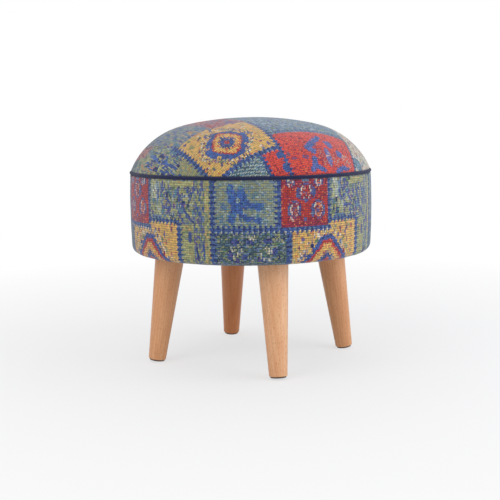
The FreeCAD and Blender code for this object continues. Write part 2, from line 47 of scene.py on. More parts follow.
bpy.ops.object.select_all(action="DESELECT")
bpy.ops.object.camera_add()
camera = bpy.context.object
camera.data.lens = photoCamera["lens"]
camera.data.sensor_width = 36
turn = math.radians(photoCamera["turn"])
camera.matrix_world = (
    Matrix.Translation((photoCamera["distance"] * math.sin(turn), -photoCamera["distance"] * math.cos(turn),
                        photoCamera["height"]))
    @ Matrix.Rotation(turn + math.radians(photoCamera["sideways"]), 4, "Z")
    @ Matrix.Rotation(math.radians(90 - photoCamera["tilt"]), 4, "X")
    @ Matrix.Rotation(-math.radians(photoCamera["roll"]), 4, "Z"))
bpy.context.scene.camera = camera
towardsCamera = turn - math.pi / 2
print("camera placed")


def dye(red, green, blue):
    # a colour as a screen shows it, 0 to 255, turned into light
    shown = numpy.array([red, green, blue]) / 255
    light = numpy.where(shown <= 0.04045, shown / 12.92, ((shown + 0.055) / 1.055) ** 2.4)
    return tuple(float(part) for part in light) + (1.0,)


# the material whose nodes are being laid, which the node helpers below add to
bench = {}


def newFinish(name, roughness, **sockets):
    finish = bench["finish"] = bpy.data.materials.new(name)
    finish.use_nodes = True
    shader = finish.node_tree.nodes["Principled BSDF"]
    shader.inputs["Roughness"].default_value = roughness
    for socket, amount in sockets.items():
        shader.inputs[socket.replace("_", " ")].default_value = amount
    return finish


def addNode(kind, inputs=None, **settings):
    tree = bench["finish"].node_tree
    made = tree.nodes.new("ShaderNode" + kind)
    for setting, choice in settings.items():
        setattr(made, setting, choice)
    for socket, value in (inputs or {}).items():
        if isinstance(value, bpy.types.NodeSocket):
            tree.links.new(value, made.inputs[socket])
        else:
            made.inputs[socket].default_value = value
    return made


def toShader(socket, value):
    tree = bench["finish"].node_tree
    tree.links.new(value, tree.nodes["Principled BSDF"].inputs[socket])


def blendColours(amount, first, second, how="MIX"):
    # inputs 6 and 7 are the two colours, output 2 their mix
    return addNode("Mix", {0: amount, 6: first, 7: second}, data_type="RGBA", blend_type=how).outputs[2]


def roughen(height, strength, distance):
    bump = addNode("Bump", {"Height": height, "Strength": strength, "Distance": distance})
    toShader("Normal", bump.outputs["Normal"])


def sums(how, first, second=0.0, third=None):
    inputs = {0: first, 1: second}
    if third is not None:
        inputs[2] = third
    return addNode("Math", inputs, operation=how).outputs[0]


def wave(value, length=1.0):
    return sums("SINE", sums("MULTIPLY", value, 2 * math.pi / length))


def coordinates(place=(0, 0, 0), lean=(0, 0, 0)):
    # Object coordinates, read from a place and a lean of the piece's own
    where = addNode("TexCoord").outputs["Object"]
    return addNode("Mapping", {"Vector": where, "Location": place, "Rotation": lean},
                   vector_type="TEXTURE").outputs[0]


def parts(vector):
    return addNode("SeparateXYZ", {0: vector}).outputs


def speckle(where, scale, detail=3.0, roughness=0.55):
    return addNode("TexNoise", {"Vector": where, "Scale": scale, "Detail": detail,
                                "Roughness": roughness}).outputs["Fac"]


def between(value, low, high, start=0.0, end=1.0):
    return addNode("MapRange", {"Value": value, "From Min": low, "From Max": high, "To Min": start,
                                "To Max": end}).outputs[0]


def stretched(where, scale):
    return addNode("VectorMath", {0: where, 1: scale}, operation="MULTIPLY").outputs[0]


def shades(value, dark, light):
    # a colour between a dark and a light one, as a value runs from 0 to 1
    ramp = addNode("ValToRGB", {"Fac": value})
    for stop, colour in zip(ramp.color_ramp.elements, (dark, light)):
        stop.color = dye(*colour)
    return ramp.outputs[0]


# The jacquard is drawn stitch by stitch on a chart, with these yarns
yarnColours = {
    "navy": (42, 50, 98), "blue": (64, 88, 146), "royal": (72, 108, 178), "periwinkle": (108, 116, 180),
    "slate": (106, 126, 154), "sky": (152, 174, 192), "teal": (90, 130, 146), "purple": (100, 92, 142),
    "plum": (126, 80, 104), "wine": (118, 40, 54), "crimson": (158, 52, 70), "red": (182, 58, 46),
    "scarlet": (219, 77, 57), "orange": (214, 120, 78), "gold": (223, 179, 99), "ochre": (192, 158, 104),
    "cream": (222, 211, 190), "blush": (216, 178, 168), "rose": (190, 136, 124), "sage": (132, 144, 130),
    "mist": (170, 182, 174), "lime": (178, 178, 124), "olive": (156, 154, 108), "moss": (106, 126, 94),
    "forest": (70, 90, 96), "stone": (150, 150, 148)}
yarnNames = list(yarnColours)
stitchSize = 0.002204
# the chart being drawn: each stitch's yarn, its column and row, and the dice for the random draws
chart = {}


def newChart(columns, rows, yarn):
    row, column = numpy.mgrid[0:rows, 0:columns] + 0.5
    chart.update(yarn=numpy.full((rows, columns), yarnNames.index(yarn)), column=column, row=row,
                 dice=numpy.random.default_rng(41))


def block(left, right, top, bottom):
    column, row = chart["column"], chart["row"]
    return (column > left) & (column < right) & (row > top) & (row < bottom)


def oval(column, row, wide, tall):
    return ((chart["column"] - column) / wide * 2) ** 2 + ((chart["row"] - row) / tall * 2) ** 2 < 1


def stroke(points, width):
    column, row = chart["column"], chart["row"]
    near = numpy.full(column.shape, numpy.inf)
    for (x, y), (endX, endY) in zip(points, points[1:]):
        runX, runY = endX - x, endY - y
        along = ((column - x) * runX + (row - y) * runY) / max(runX ** 2 + runY ** 2, 1e-9)
        along = numpy.clip(along, 0, 1)
        near = numpy.minimum(near, numpy.hypot(column - x - along * runX, row - y - along * runY))
    return near < width / 2


def thinned(stitches, share):
    return stitches & (chart["dice"].random(stitches.shape) < share)


def weave(stitches, yarn, share=1.0):
    chart["yarn"][thinned(stitches, share) if share < 1 else stitches] = yarnNames.index(yarn)


def mottle(stitches, wide=1, tall=1, **mix):
    # each tuft of wide by tall stitches draws its yarn from the mix
    shares = numpy.cumsum(list(mix.values())) / sum(mix.values())
    rows, columns = stitches.shape
    throw = chart["dice"].random((rows // tall + 2, columns // wide + 2))
    throw = numpy.kron(throw, numpy.ones((tall, wide)))[:rows, :columns]
    picked = numpy.minimum(numpy.searchsorted(shares, throw), len(mix) - 1)
    numbers = numpy.array([yarnNames.index(name) for name in mix])[picked]
    chart["yarn"][stitches] = numbers[stitches]


def dashes(stitches, yarns, count, wide, tall):
    # short strokes, thrown anywhere in the patch
    places, yarns, dice = numpy.argwhere(stitches), yarns.split(), chart["dice"]
    for _ in range(count if len(places) else 0):
        row, column = places[dice.integers(len(places))]
        width = dice.integers(wide[0], wide[1] + 1)
        height = dice.integers(tall[0], tall[1] + 1)
        spot = (slice(row, row + height), slice(column, column + width))
        chart["yarn"][spot][stitches[spot]] = yarnNames.index(yarns[dice.integers(len(yarns))])


def wanders(stitches, yarns, count, length):
    # thin lines that feel their way down through the patch
    places, yarns, dice = numpy.argwhere(stitches), yarns.split(), chart["dice"]
    for _ in range(count if len(places) else 0):
        row, column = places[dice.integers(len(places))]
        yarn = yarnNames.index(yarns[dice.integers(len(yarns))])
        for _ in range(dice.integers(*length)):
            spot = (slice(row, row + 1), slice(column, column + dice.integers(1, 3)))
            chart["yarn"][spot][stitches[spot]] = yarn
            row += int(dice.random() < 0.8)
            column = max(0, column + dice.integers(-1, 2))


def toothed(along, out, reach):
    # a tooth is two stitches broad at its root and one at its tip, four stitches from the next
    beat = along % 4
    return (out > 0) & (out < reach) & (beat < numpy.where(out < reach * 0.6, 2, 1))


def bordered(core, along, teeth, yarn):
    mottle(teeth, **{yarn: 6, "navy": 3, "slate": 1})
    mottle(core & (along % 4 < 2), **{yarn: 6, "navy": 4, "forest": 1})
    mottle(core & (along % 4 >= 2), **{yarn: 6, "slate": 3, "royal": 1})


def allTeeth(along, inside, sides, reach):
    teeth = numpy.zeros(inside.shape, bool)
    for there, out in sides:
        if there:
            teeth |= toothed(along, out, reach) & inside
    return teeth


def toothedColumn(left, right, top, bottom, reach, leftSide=True, rightSide=True, yarn="blue"):
    column, row = chart["column"], chart["row"]
    along = row - 0.5 - top
    inside = (row > top) & (row < bottom)
    teeth = allTeeth(along, inside, ((leftSide, left - column), (rightSide, column - right)), reach)
    bordered(block(left, right, top, bottom), along, teeth, yarn)


def toothedRow(left, right, top, bottom, reach, upwards=True, downwards=True, yarn="blue", gap=None):
    column, row = chart["column"], chart["row"]
    along = column - 0.5 - left
    inside = (column > left) & (column < right)
    teeth = allTeeth(along, inside, ((upwards, top - row), (downwards, row - bottom)), reach)
    below = row - bottom
    betweenTeeth = inside & (along % 4 >= 3)
    if gap:
        weave(betweenTeeth & (below > -0.5) & (below < 1.6), gap, 0.8)
    bordered(block(left, right, top, bottom), along, teeth, yarn)
    if gap:
        weave(betweenTeeth & (below > -1) & (below <= 0), gap, 0.5)


def medallion(column, row, wide, tall, core="red", pointed=False):
    # dark at its sides and foot, pale strokes that break the ring, and a warm heart
    dark = dict(blue=4, purple=4, slate=2, wine=2)
    mottle(oval(column, row, wide * 1.04, tall * 1.08), crimson=4, plum=2, purple=2, wine=2)
    for side in (-1, 1):
        mottle(oval(column + side * wide * 0.4, row + tall * 0.03, wide * 0.3, tall * 0.7), **dark)
    mottle(oval(column, row - tall * 0.46, wide * 0.4, tall * 0.14), **dark)
    if pointed:
        drop = stroke([(column, row + tall * 0.4), (column, row + tall * 0.62)], wide * 0.34)
        mottle(drop & (abs(chart["column"] - column) < (row + tall * 0.68 - chart["row"]) * 0.6), **dark)
    mottle(oval(column, row, wide * 0.5, tall * 0.72), **{core: 5, "red": 3, "wine": 2, "rose": 1})
    for side in (-wide, wide):
        upper = [(column + side * 0.2, row - tall * 0.34), (column + side * 0.27, row - tall * 0.06)]
        lower = [(column + side * 0.27, row + tall * 0.06), (column + side * 0.12, row + tall * 0.36)]
        weave(stroke(upper, 1.1), "cream", 0.68)
        weave(stroke(lower, 1.1), "blush", 0.64)
    mottle(oval(column, row, wide * 0.26, tall * 0.34), **{core: 4, "orange": 2, "purple": 1.5, "wine": 1})


def redField(field, bright="red", deep=0.5):
    mottle(field, **{bright: 9, "crimson": 2.4 * deep, "wine": 1.2 * deep, "orange": 0.35})
    weave(field & (chart["row"].astype(int) % 4 == 1), "crimson", 0.3 * deep)


def goldField(field):
    mottle(field, gold=9, ochre=2.4, orange=0.8, olive=0.5, wide=2)
    dashes(field, "olive rose cream purple plum moss", int(field.sum()) // 70, (1, 2), (1, 3))


def squiggleField(field, strokes):
    mottle(field, sage=3, olive=4.4, lime=3.6, stone=1.2, wide=2, tall=2)
    dashes(field, "lime mist", strokes // 2, (1, 2), (1, 3))
    wanders(field, "blue purple slate purple forest", strokes * 2 // 5, (5, 13))
    dashes(field, "blue purple slate navy", strokes // 2, (1, 2), (2, 4))
    dashes(field, "teal moss", strokes // 3, (1, 3), (2, 4))
    dashes(field, "rose ochre", strokes // 10, (1, 1), (1, 2))


def ringMotif(column, row, reach, clip, rings, teeth):
    # from the outside in: blue, a red line, gold with a toothed edge, blue again and a red heart
    around = numpy.arctan2(chart["row"] - row, chart["column"] - column)
    uneven, dice = [-0.5, 0.0, 0.5], chart["dice"]
    ragged = reach + numpy.where(numpy.sin(around * teeth) > 0, 1.3, -0.7) + dice.choice(uneven, reach.shape)
    reach = reach + dice.choice(uneven, reach.shape)
    bounds = dict(zip(("outer", "blue", "red", "gold", "heart"), rings))
    mottle(clip & (reach < bounds["outer"]), blue=7, royal=2, navy=2, purple=1.6)
    mottle(clip & (reach < bounds["blue"]), red=6, crimson=3, orange=1)
    notched = reach + numpy.where(numpy.sin(around * teeth * 1.5) > 0.5, 0.6, -0.2)
    mottle(clip & (notched < bounds["red"]), gold=7, orange=2.4, ochre=1, tall=2)
    mottle(clip & (ragged < bounds["gold"]), blue=6, navy=2.6, purple=1.4, slate=1)
    mottle(clip & (reach < bounds["heart"]), red=4, crimson=2, orange=1)


def chevronReach(column, row):
    across, down = abs(chart["column"] - column), abs(chart["row"] - row)
    return numpy.maximum(down * 0.97, (across * 1.14 + down) / 1.3)


def roundReach(column, row, tall, power):
    across, down = abs(chart["column"] - column), abs(chart["row"] - row) / tall
    return (across ** power + down ** power) ** (1 / power)


def specks(**places):
    # for each yarn, the ovals woven in it: column, row, width and height
    for yarn, ovals in places.items():
        for place in ovals:
            weave(oval(*place), yarn)


def blots(places, **mix):
    for place in places:
        mottle(oval(*place), **mix)


def lines(figure, within=True, **mix):
    # each line of a figure is its width and then its points
    for width, *points in figure:
        mottle(stroke(points, width) & within, **mix)


def squigglePatch(height):
    field = block(43, 87, 0, 35) | block(75, 87, 0, height)
    squiggleField(field, 125)
    mottle(block(65, 88, 0.5, 4.6), lime=5, olive=4, ochre=1, wide=3)
    mottle(block(43.6, 49.6, 0, 15), mist=3, lime=3, sage=2, cream=1, tall=2)
    mottle(block(49.6, 53.4, 2, 17), sky=3, slate=2, sage=2, tall=3)
    mottle(block(50.6, 56, 18, 28), lime=3, mist=2, sage=2, tall=2)
    mottle(block(46, 56, 28, 32), slate=4, periwinkle=1, teal=2, wide=2)
    weave(block(48, 49.4, 16, 27), "forest", 0.7)
    lines(((1.8, (52, 9), (52, 14)), (1.5, (57, 2), (58, 8), (56, 10)), (2, (73, 7), (74, 16)),
           (2.2, (76, 18), (80, 25), (85, 31)), (2, (82, 8), (84, 15)), (2, (62, 15), (66, 19), (64, 26)),
           (1.6, (58, 22), (64, 22))), field, blue=3, purple=2, slate=1)
    mottle(oval(75, 23, 5, 3.6), teal=4, slate=1)
    lower = block(75, 87, 34, height)
    mottle(lower, olive=5, lime=3, sage=2, moss=1.4, ochre=1, wide=3)
    weave(lower & (chart["row"].astype(int) % 2 == 0), "lime", 0.35)
    mottle(oval(83.6, 43.4, 3.4, 9), blue=4, purple=1)


def stripePatch(height):
    strip = block(87, 96, 0, height)
    mottle(strip, purple=2, slate=3, sage=3, olive=2.4, lime=1, blue=1.6, moss=1, tall=2)
    wanders(strip, "purple blue slate", 12, (5, 12))
    dashes(block(87, 96, 48, height), "blue navy", 14, (1, 2), (3, 7))
    dashes(strip, "olive lime", 22, (1, 2), (1, 3))
    mottle(block(96, 102, 0, height), olive=5, lime=4, sage=1.6, ochre=1.6, moss=1, tall=2)


def starPatch():
    field = block(104, 152, 0, 36)
    mottle(field, sage=6, mist=1.6, olive=2.4, teal=1.2, slate=1.6, wide=2)
    weave(field, "sage", 0.3)
    figure = (
        (5.6, (116.4, 6), (117.4, 10), (118.6, 14)), (5.2, (119.6, 13), (120, 19), (119.8, 25)),
        (5.2, (124.6, 8), (126, 12), (126.2, 16)), (4.2, (121, 17.6), (127, 18.6), (133, 18.8)),
        (5.2, (119, 24), (117.2, 29)), (3.8, (124.4, 19), (124.2, 25)), (4.2, (126, 27), (130, 29.4)),
        (2.6, (137, 28.6), (138, 31)), (1.6, (131, 29), (136, 29.6)))
    halo = oval(137, 20, 13, 11) | oval(111, 19.6, 9, 7) | oval(135.4, 11.4, 10, 6)
    mottle(thinned(halo, 0.5), teal=5, slate=2, sage=3)
    rim = numpy.zeros(field.shape, bool)
    for width, *points in figure:
        rim |= stroke(points, width + 2.4)
    mottle(thinned(rim, 0.45), slate=4, blue=3, teal=2)
    lines(figure, blue=6, royal=7, purple=0.8, navy=0.8, teal=0.6)
    mottle(oval(137.4, 19.6, 9, 6), royal=5, blue=3, teal=2)
    mottle(oval(111.6, 19.8, 5, 4), blue=3, teal=4, slate=2)
    lines([(1.5, (121.8, 12), (122, 16.6))], teal=2, mist=2, slate=1)
    lines([(1.9, (122.2, 26), (122.4, 34))], sage=2, mist=1, olive=1)
    dashes(rim, "royal blue teal", 34, (1, 2), (1, 3))
    dashes(block(108, 146, 24, 34), "teal slate blue", 26, (1, 2), (1, 2))


def flowerPatch(height):
    field = block(104, 160, 40, height)
    mottle(field, forest=5, moss=3, slate=3.4, teal=1, stone=1.2, navy=1, olive=1, wide=2)
    weave(field & ((chart["row"] + chart["column"]).astype(int) % 3 == 0), "forest", 0.5)
    dashes(field, "stone sage olive", 50, (1, 1), (1, 1))
    blots(((119.5, 46.5, 7, 4.6), (131, 46.6, 7, 3), (144.5, 46, 8, 4.5), (150, 54, 3.4, 7), (116, 57, 5, 6),
           (127, 58, 5, 4), (121, 61, 5, 4), (139, 60, 4, 5)), blue=4, navy=3, purple=3)
    for points in (
            ((130.4, 42), (131, 45), (132.2, 42.6), (133.4, 45), (134.4, 41.6)),
            ((116, 50), (117.6, 53.4), (120.6, 52.6)), ((122.8, 48), (122.6, 50.6)),
            ((124.8, 51.4), (124.8, 55)), ((121.6, 54.6), (121.8, 58)), ((118.6, 57), (119.2, 61)),
            ((141, 53), (143.6, 50.6), (144, 55)),
            ((145.4, 52), (145.6, 55.8)), ((147.8, 50), (147.6, 55)), ((139.4, 56), (139.6, 59)),
            ((141.6, 60), (146, 59.4), (146, 62)), ((153, 44), (157, 47.4))):
        mottle(stroke(points, 1.1), cream=5, lime=3, stone=2.4)
    weave(oval(150.4, 48.4, 3.4, 4), "moss")


def ringPatch(height):
    gold = block(8, 41, 38, height) | block(40, 72, 33, height)
    goldField(gold)
    reach = chevronReach(38.8, 64.8)
    speckled = gold & (reach > 21) & (reach < 28)
    mottle(speckled, gold=7, ochre=1.6, cream=1.8, rose=1.2, olive=1.4, stone=1.2, purple=1, tall=2)
    inner = block(9, 41, 40, height) | block(40, 71, 35, height)
    ringMotif(38.8, 64.8, reach, inner, (20.7, 16.4, 13.6, 8.0, 3.0), 26)
    specks(purple=((16.4, 46, 2.8, 3.6), (18.4, 58.5, 2, 5), (58.4, 43, 2, 6.4), (50.2, 44.6, 2.2, 3.4)),
           navy=[(24.5, 51.6, 3, 3.6)], olive=((21.6, 43, 2, 3), (60, 55, 2, 3.6), (24, 57, 2, 3)),
           moss=((28.6, 47.6, 3, 3), (55.6, 46.8, 2, 4)),
           plum=((13.4, 52.4, 2, 3.6), (52.2, 39.6, 2, 4), (66, 38, 1.6, 3), (60.6, 48.6, 1.8, 4)),
           slate=((52.6, 50.6, 2.4, 3.6), (15, 60, 1.6, 3)), cream=[(30, 43.4, 2, 3)],
           crimson=[(57, 58, 2, 3.6)], rose=[(64.6, 58, 2, 3)])


def medallionPatch():
    redField(block(-1, 39, 0, 37), "crimson", 0.6)
    for width, *points in ((7, (4, 8), (12, 14), (19, 22)), (7, (35, 8), (27, 14), (19, 22)),
                           (8, (19, 20), (19, 28)), (4.6, (36, 16), (36, 32)), (4.6, (2, 10), (2, 32))):
        redField(stroke(points, width) & block(-1, 39, 3, 34), "red", 0.5)
    medallion(19.2, 9.8, 15.4, 13.2, pointed=True)
    medallion(9.6, 23, 10.4, 13.6, "plum")
    medallion(29.8, 23.6, 12, 14.6, "orange")
    medallion(6.6, 2.4, 7, 7.4, "slate")
    medallion(30.6, 2.6, 8, 7, "slate")
    specks(purple=((29.6, 24.4, 2.2, 3.4), (18.7, 30.4, 3.2, 3.6)), slate=[(19, 0.8, 6, 2.6)])
    weave(stroke([(6, 28), (8.6, 31.4)], 1.3), "blush", 0.7)


def bandRepeat(height, firstColumn, firstRow=0):
    # one repeat of the strip, counted from another stitch of the chart
    column, row = chart["column"], chart["row"]
    chart.update(column=column - firstColumn, row=row - firstRow)
    squigglePatch(height)
    stripePatch(height)
    starPatch()
    flowerPatch(height)
    ringPatch(height)
    medallionPatch()
    toothedColumn(38.6, 40.8, 0, 35, 2.4, leftSide=False)
    toothedRow(41, 74, 30.8, 33, 1.9, gap="lime")
    toothedRow(-1, 42, 36.4, 38.8, 1.8, upwards=False, gap="cream")
    toothedColumn(72.4, 75, 33, height, 1.9)
    toothedColumn(101.4, 104.2, 0, height, 1.9)
    toothedColumn(151.6, 154.6, 0, 37, 2.2, rightSide=False)
    toothedRow(102, 156, 35.6, 38.8, 1.9, gap="mist")
    toothedColumn(159.4, 162.6, 38, height, 1.9, leftSide=False)
    chart.update(column=column, row=row)


def bandCloth(columns, rows, repeat=156, firstRepeat=32):
    # the strip is drawn one repeat too wide on each side, then cut to its length
    newChart(columns + 2 * repeat, rows, "sage")
    for start in range(firstRepeat, columns + repeat, repeat):
        bandRepeat(rows, start)
    return chart["yarn"][:, repeat:repeat + columns]


def seatCloth(size):
    newChart(size, size, "slate")
    # back half: the band's own repeat, beyond the crown, and the end of another at the very back
    for start in (-26, 130):
        bandRepeat(64, start, -47)
    for start in (-104, 52, 208):
        bandRepeat(84, start, 16)
    # olive field down the left
    olive = block(0, 30, 100, 215)
    squiggleField(olive, 210)
    mottle(block(18, 30, 166, 215), olive=6, sage=2, ochre=1, wide=2)
    mottle(block(6, 12, 112, 142), olive=3, orange=1, rose=1, sage=2, tall=2)
    dashes(block(8, 24, 120, 168), "blue navy royal", 60, (1, 2), (3, 9))
    # stone field behind the gold patch
    stone = block(30, 64, 98, 150)
    mottle(stone, stone=5, slate=4, sage=3, olive=2, ochre=1, tall=3)
    dashes(stone, "teal blue purple slate", 110, (1, 2), (2, 6))
    mottle(oval(52, 141, 5, 9), ochre=3, olive=3, orange=1)
    mottle(oval(60, 140, 5, 12), teal=3, slate=2)
    mottle(block(18, 30, 80, 112), plum=3, rose=3, crimson=2, ochre=1, tall=2)
    # red strip near the crown
    strip = block(64, 96, 98, 155)
    mottle(strip, rose=4, plum=3, crimson=3, red=2, stone=2, wide=2)
    dashes(strip, "purple slate ochre crimson", 90, (1, 3), (2, 5))
    mottle(oval(86, 146, 7, 12), purple=5, plum=2)
    mottle(oval(70, 145, 8, 12), crimson=4, red=3, rose=2)
    # grey-blue field behind the red panel
    slate = block(96, 171, 98, 192)
    mottle(slate, slate=6, sky=2, sage=3, teal=2, stone=2, tall=2)
    dashes(slate, "blue purple teal", 230, (1, 2), (2, 5))
    dashes(slate, "sage moss sky", 210, (1, 3), (1, 4))
    toothedRow(98, 171, 189.4, 190.8, 2, downwards=False, yarn="slate")
    # cream field on the right
    cream = block(171, 240, 98, 240)
    mottle(cream, cream=8, blush=2.4, lime=1.6, rose=0.8, mist=2, wide=2)
    dashes(cream, "sky teal rose slate", 160, (1, 3), (2, 4))
    mottle(oval(177, 215, 12, 13), teal=4, sky=3, slate=2)
    # gold patch with its ring
    gold = block(33, 64, 151, 206) | block(63, 95, 155, 206)
    goldField(gold)
    reach = roundReach(62.6, 182.6, 1.14, 1.32)
    mottle(gold & (reach > 18) & (reach < 24),
           gold=7, cream=2, navy=1.4, purple=1.4, plum=1.2, olive=1.2, rose=1, forest=1, tall=2)
    lines(((2.2, (58, 166), (61.4, 160), (63.4, 154), (65, 146)), (3, (67, 167.6), (72, 171.4), (76, 177))),
          purple=4, slate=3, blue=1, gold=3)
    ringMotif(62.6, 182.6, reach, gold, (16.6, 13.6, 12.2, 7.4, 2.2), 16)
    lines(((5.6, (45.6, 181), (46.8, 188)), (4.4, (78.6, 180), (76, 190)), (2.4, (47.4, 175.4), (55, 169)),
           (3.4, (52, 194), (59, 199.4), (67, 199.6), (72, 195))), reach > 13.9, blue=6, royal=3, purple=1)
    lines(((2.4, (42, 173), (45, 176)), (2.4, (39, 182), (46, 193), (55, 201)), (2.4, (69, 201), (82, 190)),
           (3.4, (69, 162), (78, 171)), (2.2, (37, 179), (40, 186))), gold & (reach > 17),
          sage=3, cream=2, plum=2, purple=2, rose=1.4, olive=2, gold=3)
    specks(purple=((38.5, 155, 3, 4), (54, 163, 3, 3.4), (90, 201, 2.4, 4), (62, 202.6, 2.6, 2),
                   (83, 181.6, 2, 3)),
           moss=((42.6, 154.6, 2.4, 3.6), (48.6, 196, 3, 2.6)),
           olive=((40, 163.4, 3.4, 6), (71, 164.6, 2.4, 4)), forest=[(50.6, 159.6, 2.6, 3.4)],
           plum=((48, 161, 2, 3), (86, 196, 2.6, 3), (36, 192, 2, 3)),
           cream=((55.6, 155.6, 2, 3), (86, 168, 2, 3.4)), slate=[(84, 204, 2, 2.6)],
           ochre=((90, 160, 2, 4), (36.4, 172, 1.6, 3)), sage=[(78, 193, 2.4, 4)])
    # striped sage patch at the rim, and the small red piece beside it
    stripes = block(40, 78, 209, 240)
    mottle(stripes, teal=4, slate=3, sage=1, forest=4, wide=2)
    weave(stripes & ((chart["row"] * 2 - chart["column"]).astype(int) % 6 < 2), "mist", 0.95)
    redField(block(79, 97, 208, 240), "scarlet")
    mottle(oval(92.6, 215.4, 6, 6), blue=5, purple=1)
    mottle(oval(94.4, 227, 8, 8), blue=5, royal=2)
    # red panel with the blue figure
    redField(block(97, 171, 192, 240), "scarlet")
    for width, *points in (
            (4.2, (137.4, 199.4), (131, 204.4), (126, 208.4)), (5.2, (126, 208), (120.6, 212.4), (125, 216)),
            (4.6, (123, 223), (121, 228.4)), (3.8, (118, 232.4), (122, 229.4), (130, 233)),
            (3.6, (145, 233), (152, 228.6), (159, 226))):
        mottle(thinned(stroke(points, width + 2), 0.4), purple=4, plum=2)
        mottle(stroke(points, width), blue=4, periwinkle=4, royal=2)
    mottle(oval(131, 221, 9, 17), crimson=4, red=2, rose=2, scarlet=3)
    mottle(oval(146.6, 221.6, 8, 14), scarlet=4, rose=3, red=1)
    blots(((144.6, 207, 6.4, 9), (152.4, 215.4, 7.6, 8), (141, 204.6, 3, 3)), periwinkle=5, blue=2, purple=3)
    mottle(oval(138.8, 220.6, 6.4, 18), periwinkle=5, purple=4, blush=1.4, rose=1)
    mottle(oval(160, 220, 13, 12), scarlet=5, rose=3, blush=1, plum=1)
    mottle(oval(115, 221, 7, 3.6), purple=3, crimson=3)
    mottle(oval(104, 220.6, 6, 3), purple=2, crimson=3)
    specks(crimson=((129, 211, 3, 3), (147, 217, 3, 6)), plum=[(100.4, 216.6, 2.6, 5)])
    # borders
    toothedColumn(30, 32.6, 146, 204, 1.9)
    toothedRow(42, 97, 206.4, 208.8, 1.9, gap="mist")
    toothedColumn(94.8, 97, 156, 240, 1.9)
    toothedColumn(77.4, 79.4, 208, 240, 1.9)
    toothedColumn(170, 171.6, 192, 240, 1.4, yarn="slate")
    return chart["yarn"]


# The yarn lies in beads, a little larger than a stitch of the chart, with darker warp between them and
# painted shade in the hollows where they meet
beadShape = {"wide": 1.55, "tall": 1.78, "gap": 0.66, "lift": 1.12, "drift": 1.6, "warpAndShade": (48, 56, 78)}


def clothFinish():
    # one stitch of the chart is one unit of the stitch map
    shape = beadShape
    finish = newFinish("kilim_jacquard", 0.86, Sheen_Weight=0.45, Sheen_Roughness=0.45,
                       Sheen_Tint=(0.86, 0.91, 1.0, 1.0), Specular_IOR_Level=0.2)
    yarn = addNode("Attribute", attribute_name="yarnColour").outputs["Color"]
    stitches = addNode("UVMap", uv_map="stitchMap").outputs[0]
    # the rows of beads wander a little, as woven rows do
    wander = addNode("TexNoise", {"Vector": stitches, "Scale": 0.11, "Detail": 2.0}).outputs["Color"]
    shifted = addNode("VectorMath", {0: wander, 1: (shape["drift"],) * 3, 2: stitches},
                      operation="MULTIPLY_ADD").outputs[0]
    beads = stretched(shifted, (1 / shape["wide"], 1 / shape["tall"], 1.0))
    split = parts(beads)
    across, down = wave(sums("FRACT", split[0]), 2), wave(sums("FRACT", split[1]), 2)
    bead = sums("POWER", sums("MULTIPLY", across, down), 0.7)
    # the plies that lie in each bead, and the odd paler or darker one
    plies = sums("MULTIPLY_ADD", wave(split[1], 1 / 3), 0.5, 0.5)
    fuzz = speckle(stretched(stitches, (1.4, 7.0, 1.0)), 1.0, 4.0, 0.7)
    cell = addNode("VectorMath", {0: beads}, operation="FLOOR").outputs[0]
    chance = addNode("TexWhiteNoise", {"Vector": cell}, noise_dimensions="2D").outputs["Value"]
    wear = speckle(coordinates(), 16.0, 2.0)
    shade = sums("MULTIPLY_ADD", fuzz, 0.3, shape["lift"] - 0.15)
    shade = sums("MULTIPLY", shade, between(chance, 0, 1, 0.83, 1.17))
    shade = sums("MULTIPLY", shade, between(wear, 0.3, 0.7, 0.95, 1.05))
    grey = addNode("CombineColor", {0: shade, 1: shade, 2: shade}).outputs[0]
    dyed = blendColours(1.0, yarn, grey, "MULTIPLY")
    # painted shade in the warp's dark colour: darkest where four beads meet, weaker along the lines between
    # two
    opening = sums("MULTIPLY_ADD", down, 1.35, sums("MULTIPLY", across, 0.65))
    gap = between(opening, 0.3, 1.7, shape["gap"], 0.0)
    toShader("Base Color", blendColours(gap, dyed, dye(*shape["warpAndShade"])))
    height = sums("MULTIPLY_ADD", plies, 0.16, bead)
    height = sums("MULTIPLY_ADD", fuzz, 0.3, height)
    roughen(height, 0.8, 0.0006)
    return finish


# Sizes of the sewn cover, shared by the seat and the band
coverShape = {"rim": 0.2233, "rimLean": 21.2, "seamRadius": 0.2212, "seamHeight": 0.3515,
              "pipingRadius": 0.0032, "thickness": 0.0012, "crownRadius": 0.5596, "crownTop": 0.45,
              "turnIn": 0.2554, "curl": 0.0026, "clothRadius": 0.2624, "clothTurn": 61.2, "stitches": 240,
              "pucker": 0.0006}


def addShoulder(shape):
    # the arc that meets the crown smoothly and reaches the rim at its lean
    out, up = math.cos(math.radians(shape["rimLean"])), math.sin(math.radians(shape["rimLean"]))
    middle = shape["crownTop"] - shape["crownRadius"]
    rise = shape["seamHeight"] - middle
    radius = (shape["rim"] ** 2 + rise ** 2 - shape["crownRadius"] ** 2) \
        / (2 * (shape["rim"] * out + rise * up - shape["crownRadius"]))
    shape["shoulderRadius"] = radius
    shape["shoulderX"] = shape["rim"] - radius * out
    shape["shoulderZ"] = shape["seamHeight"] - radius * up


addShoulder(coverShape)


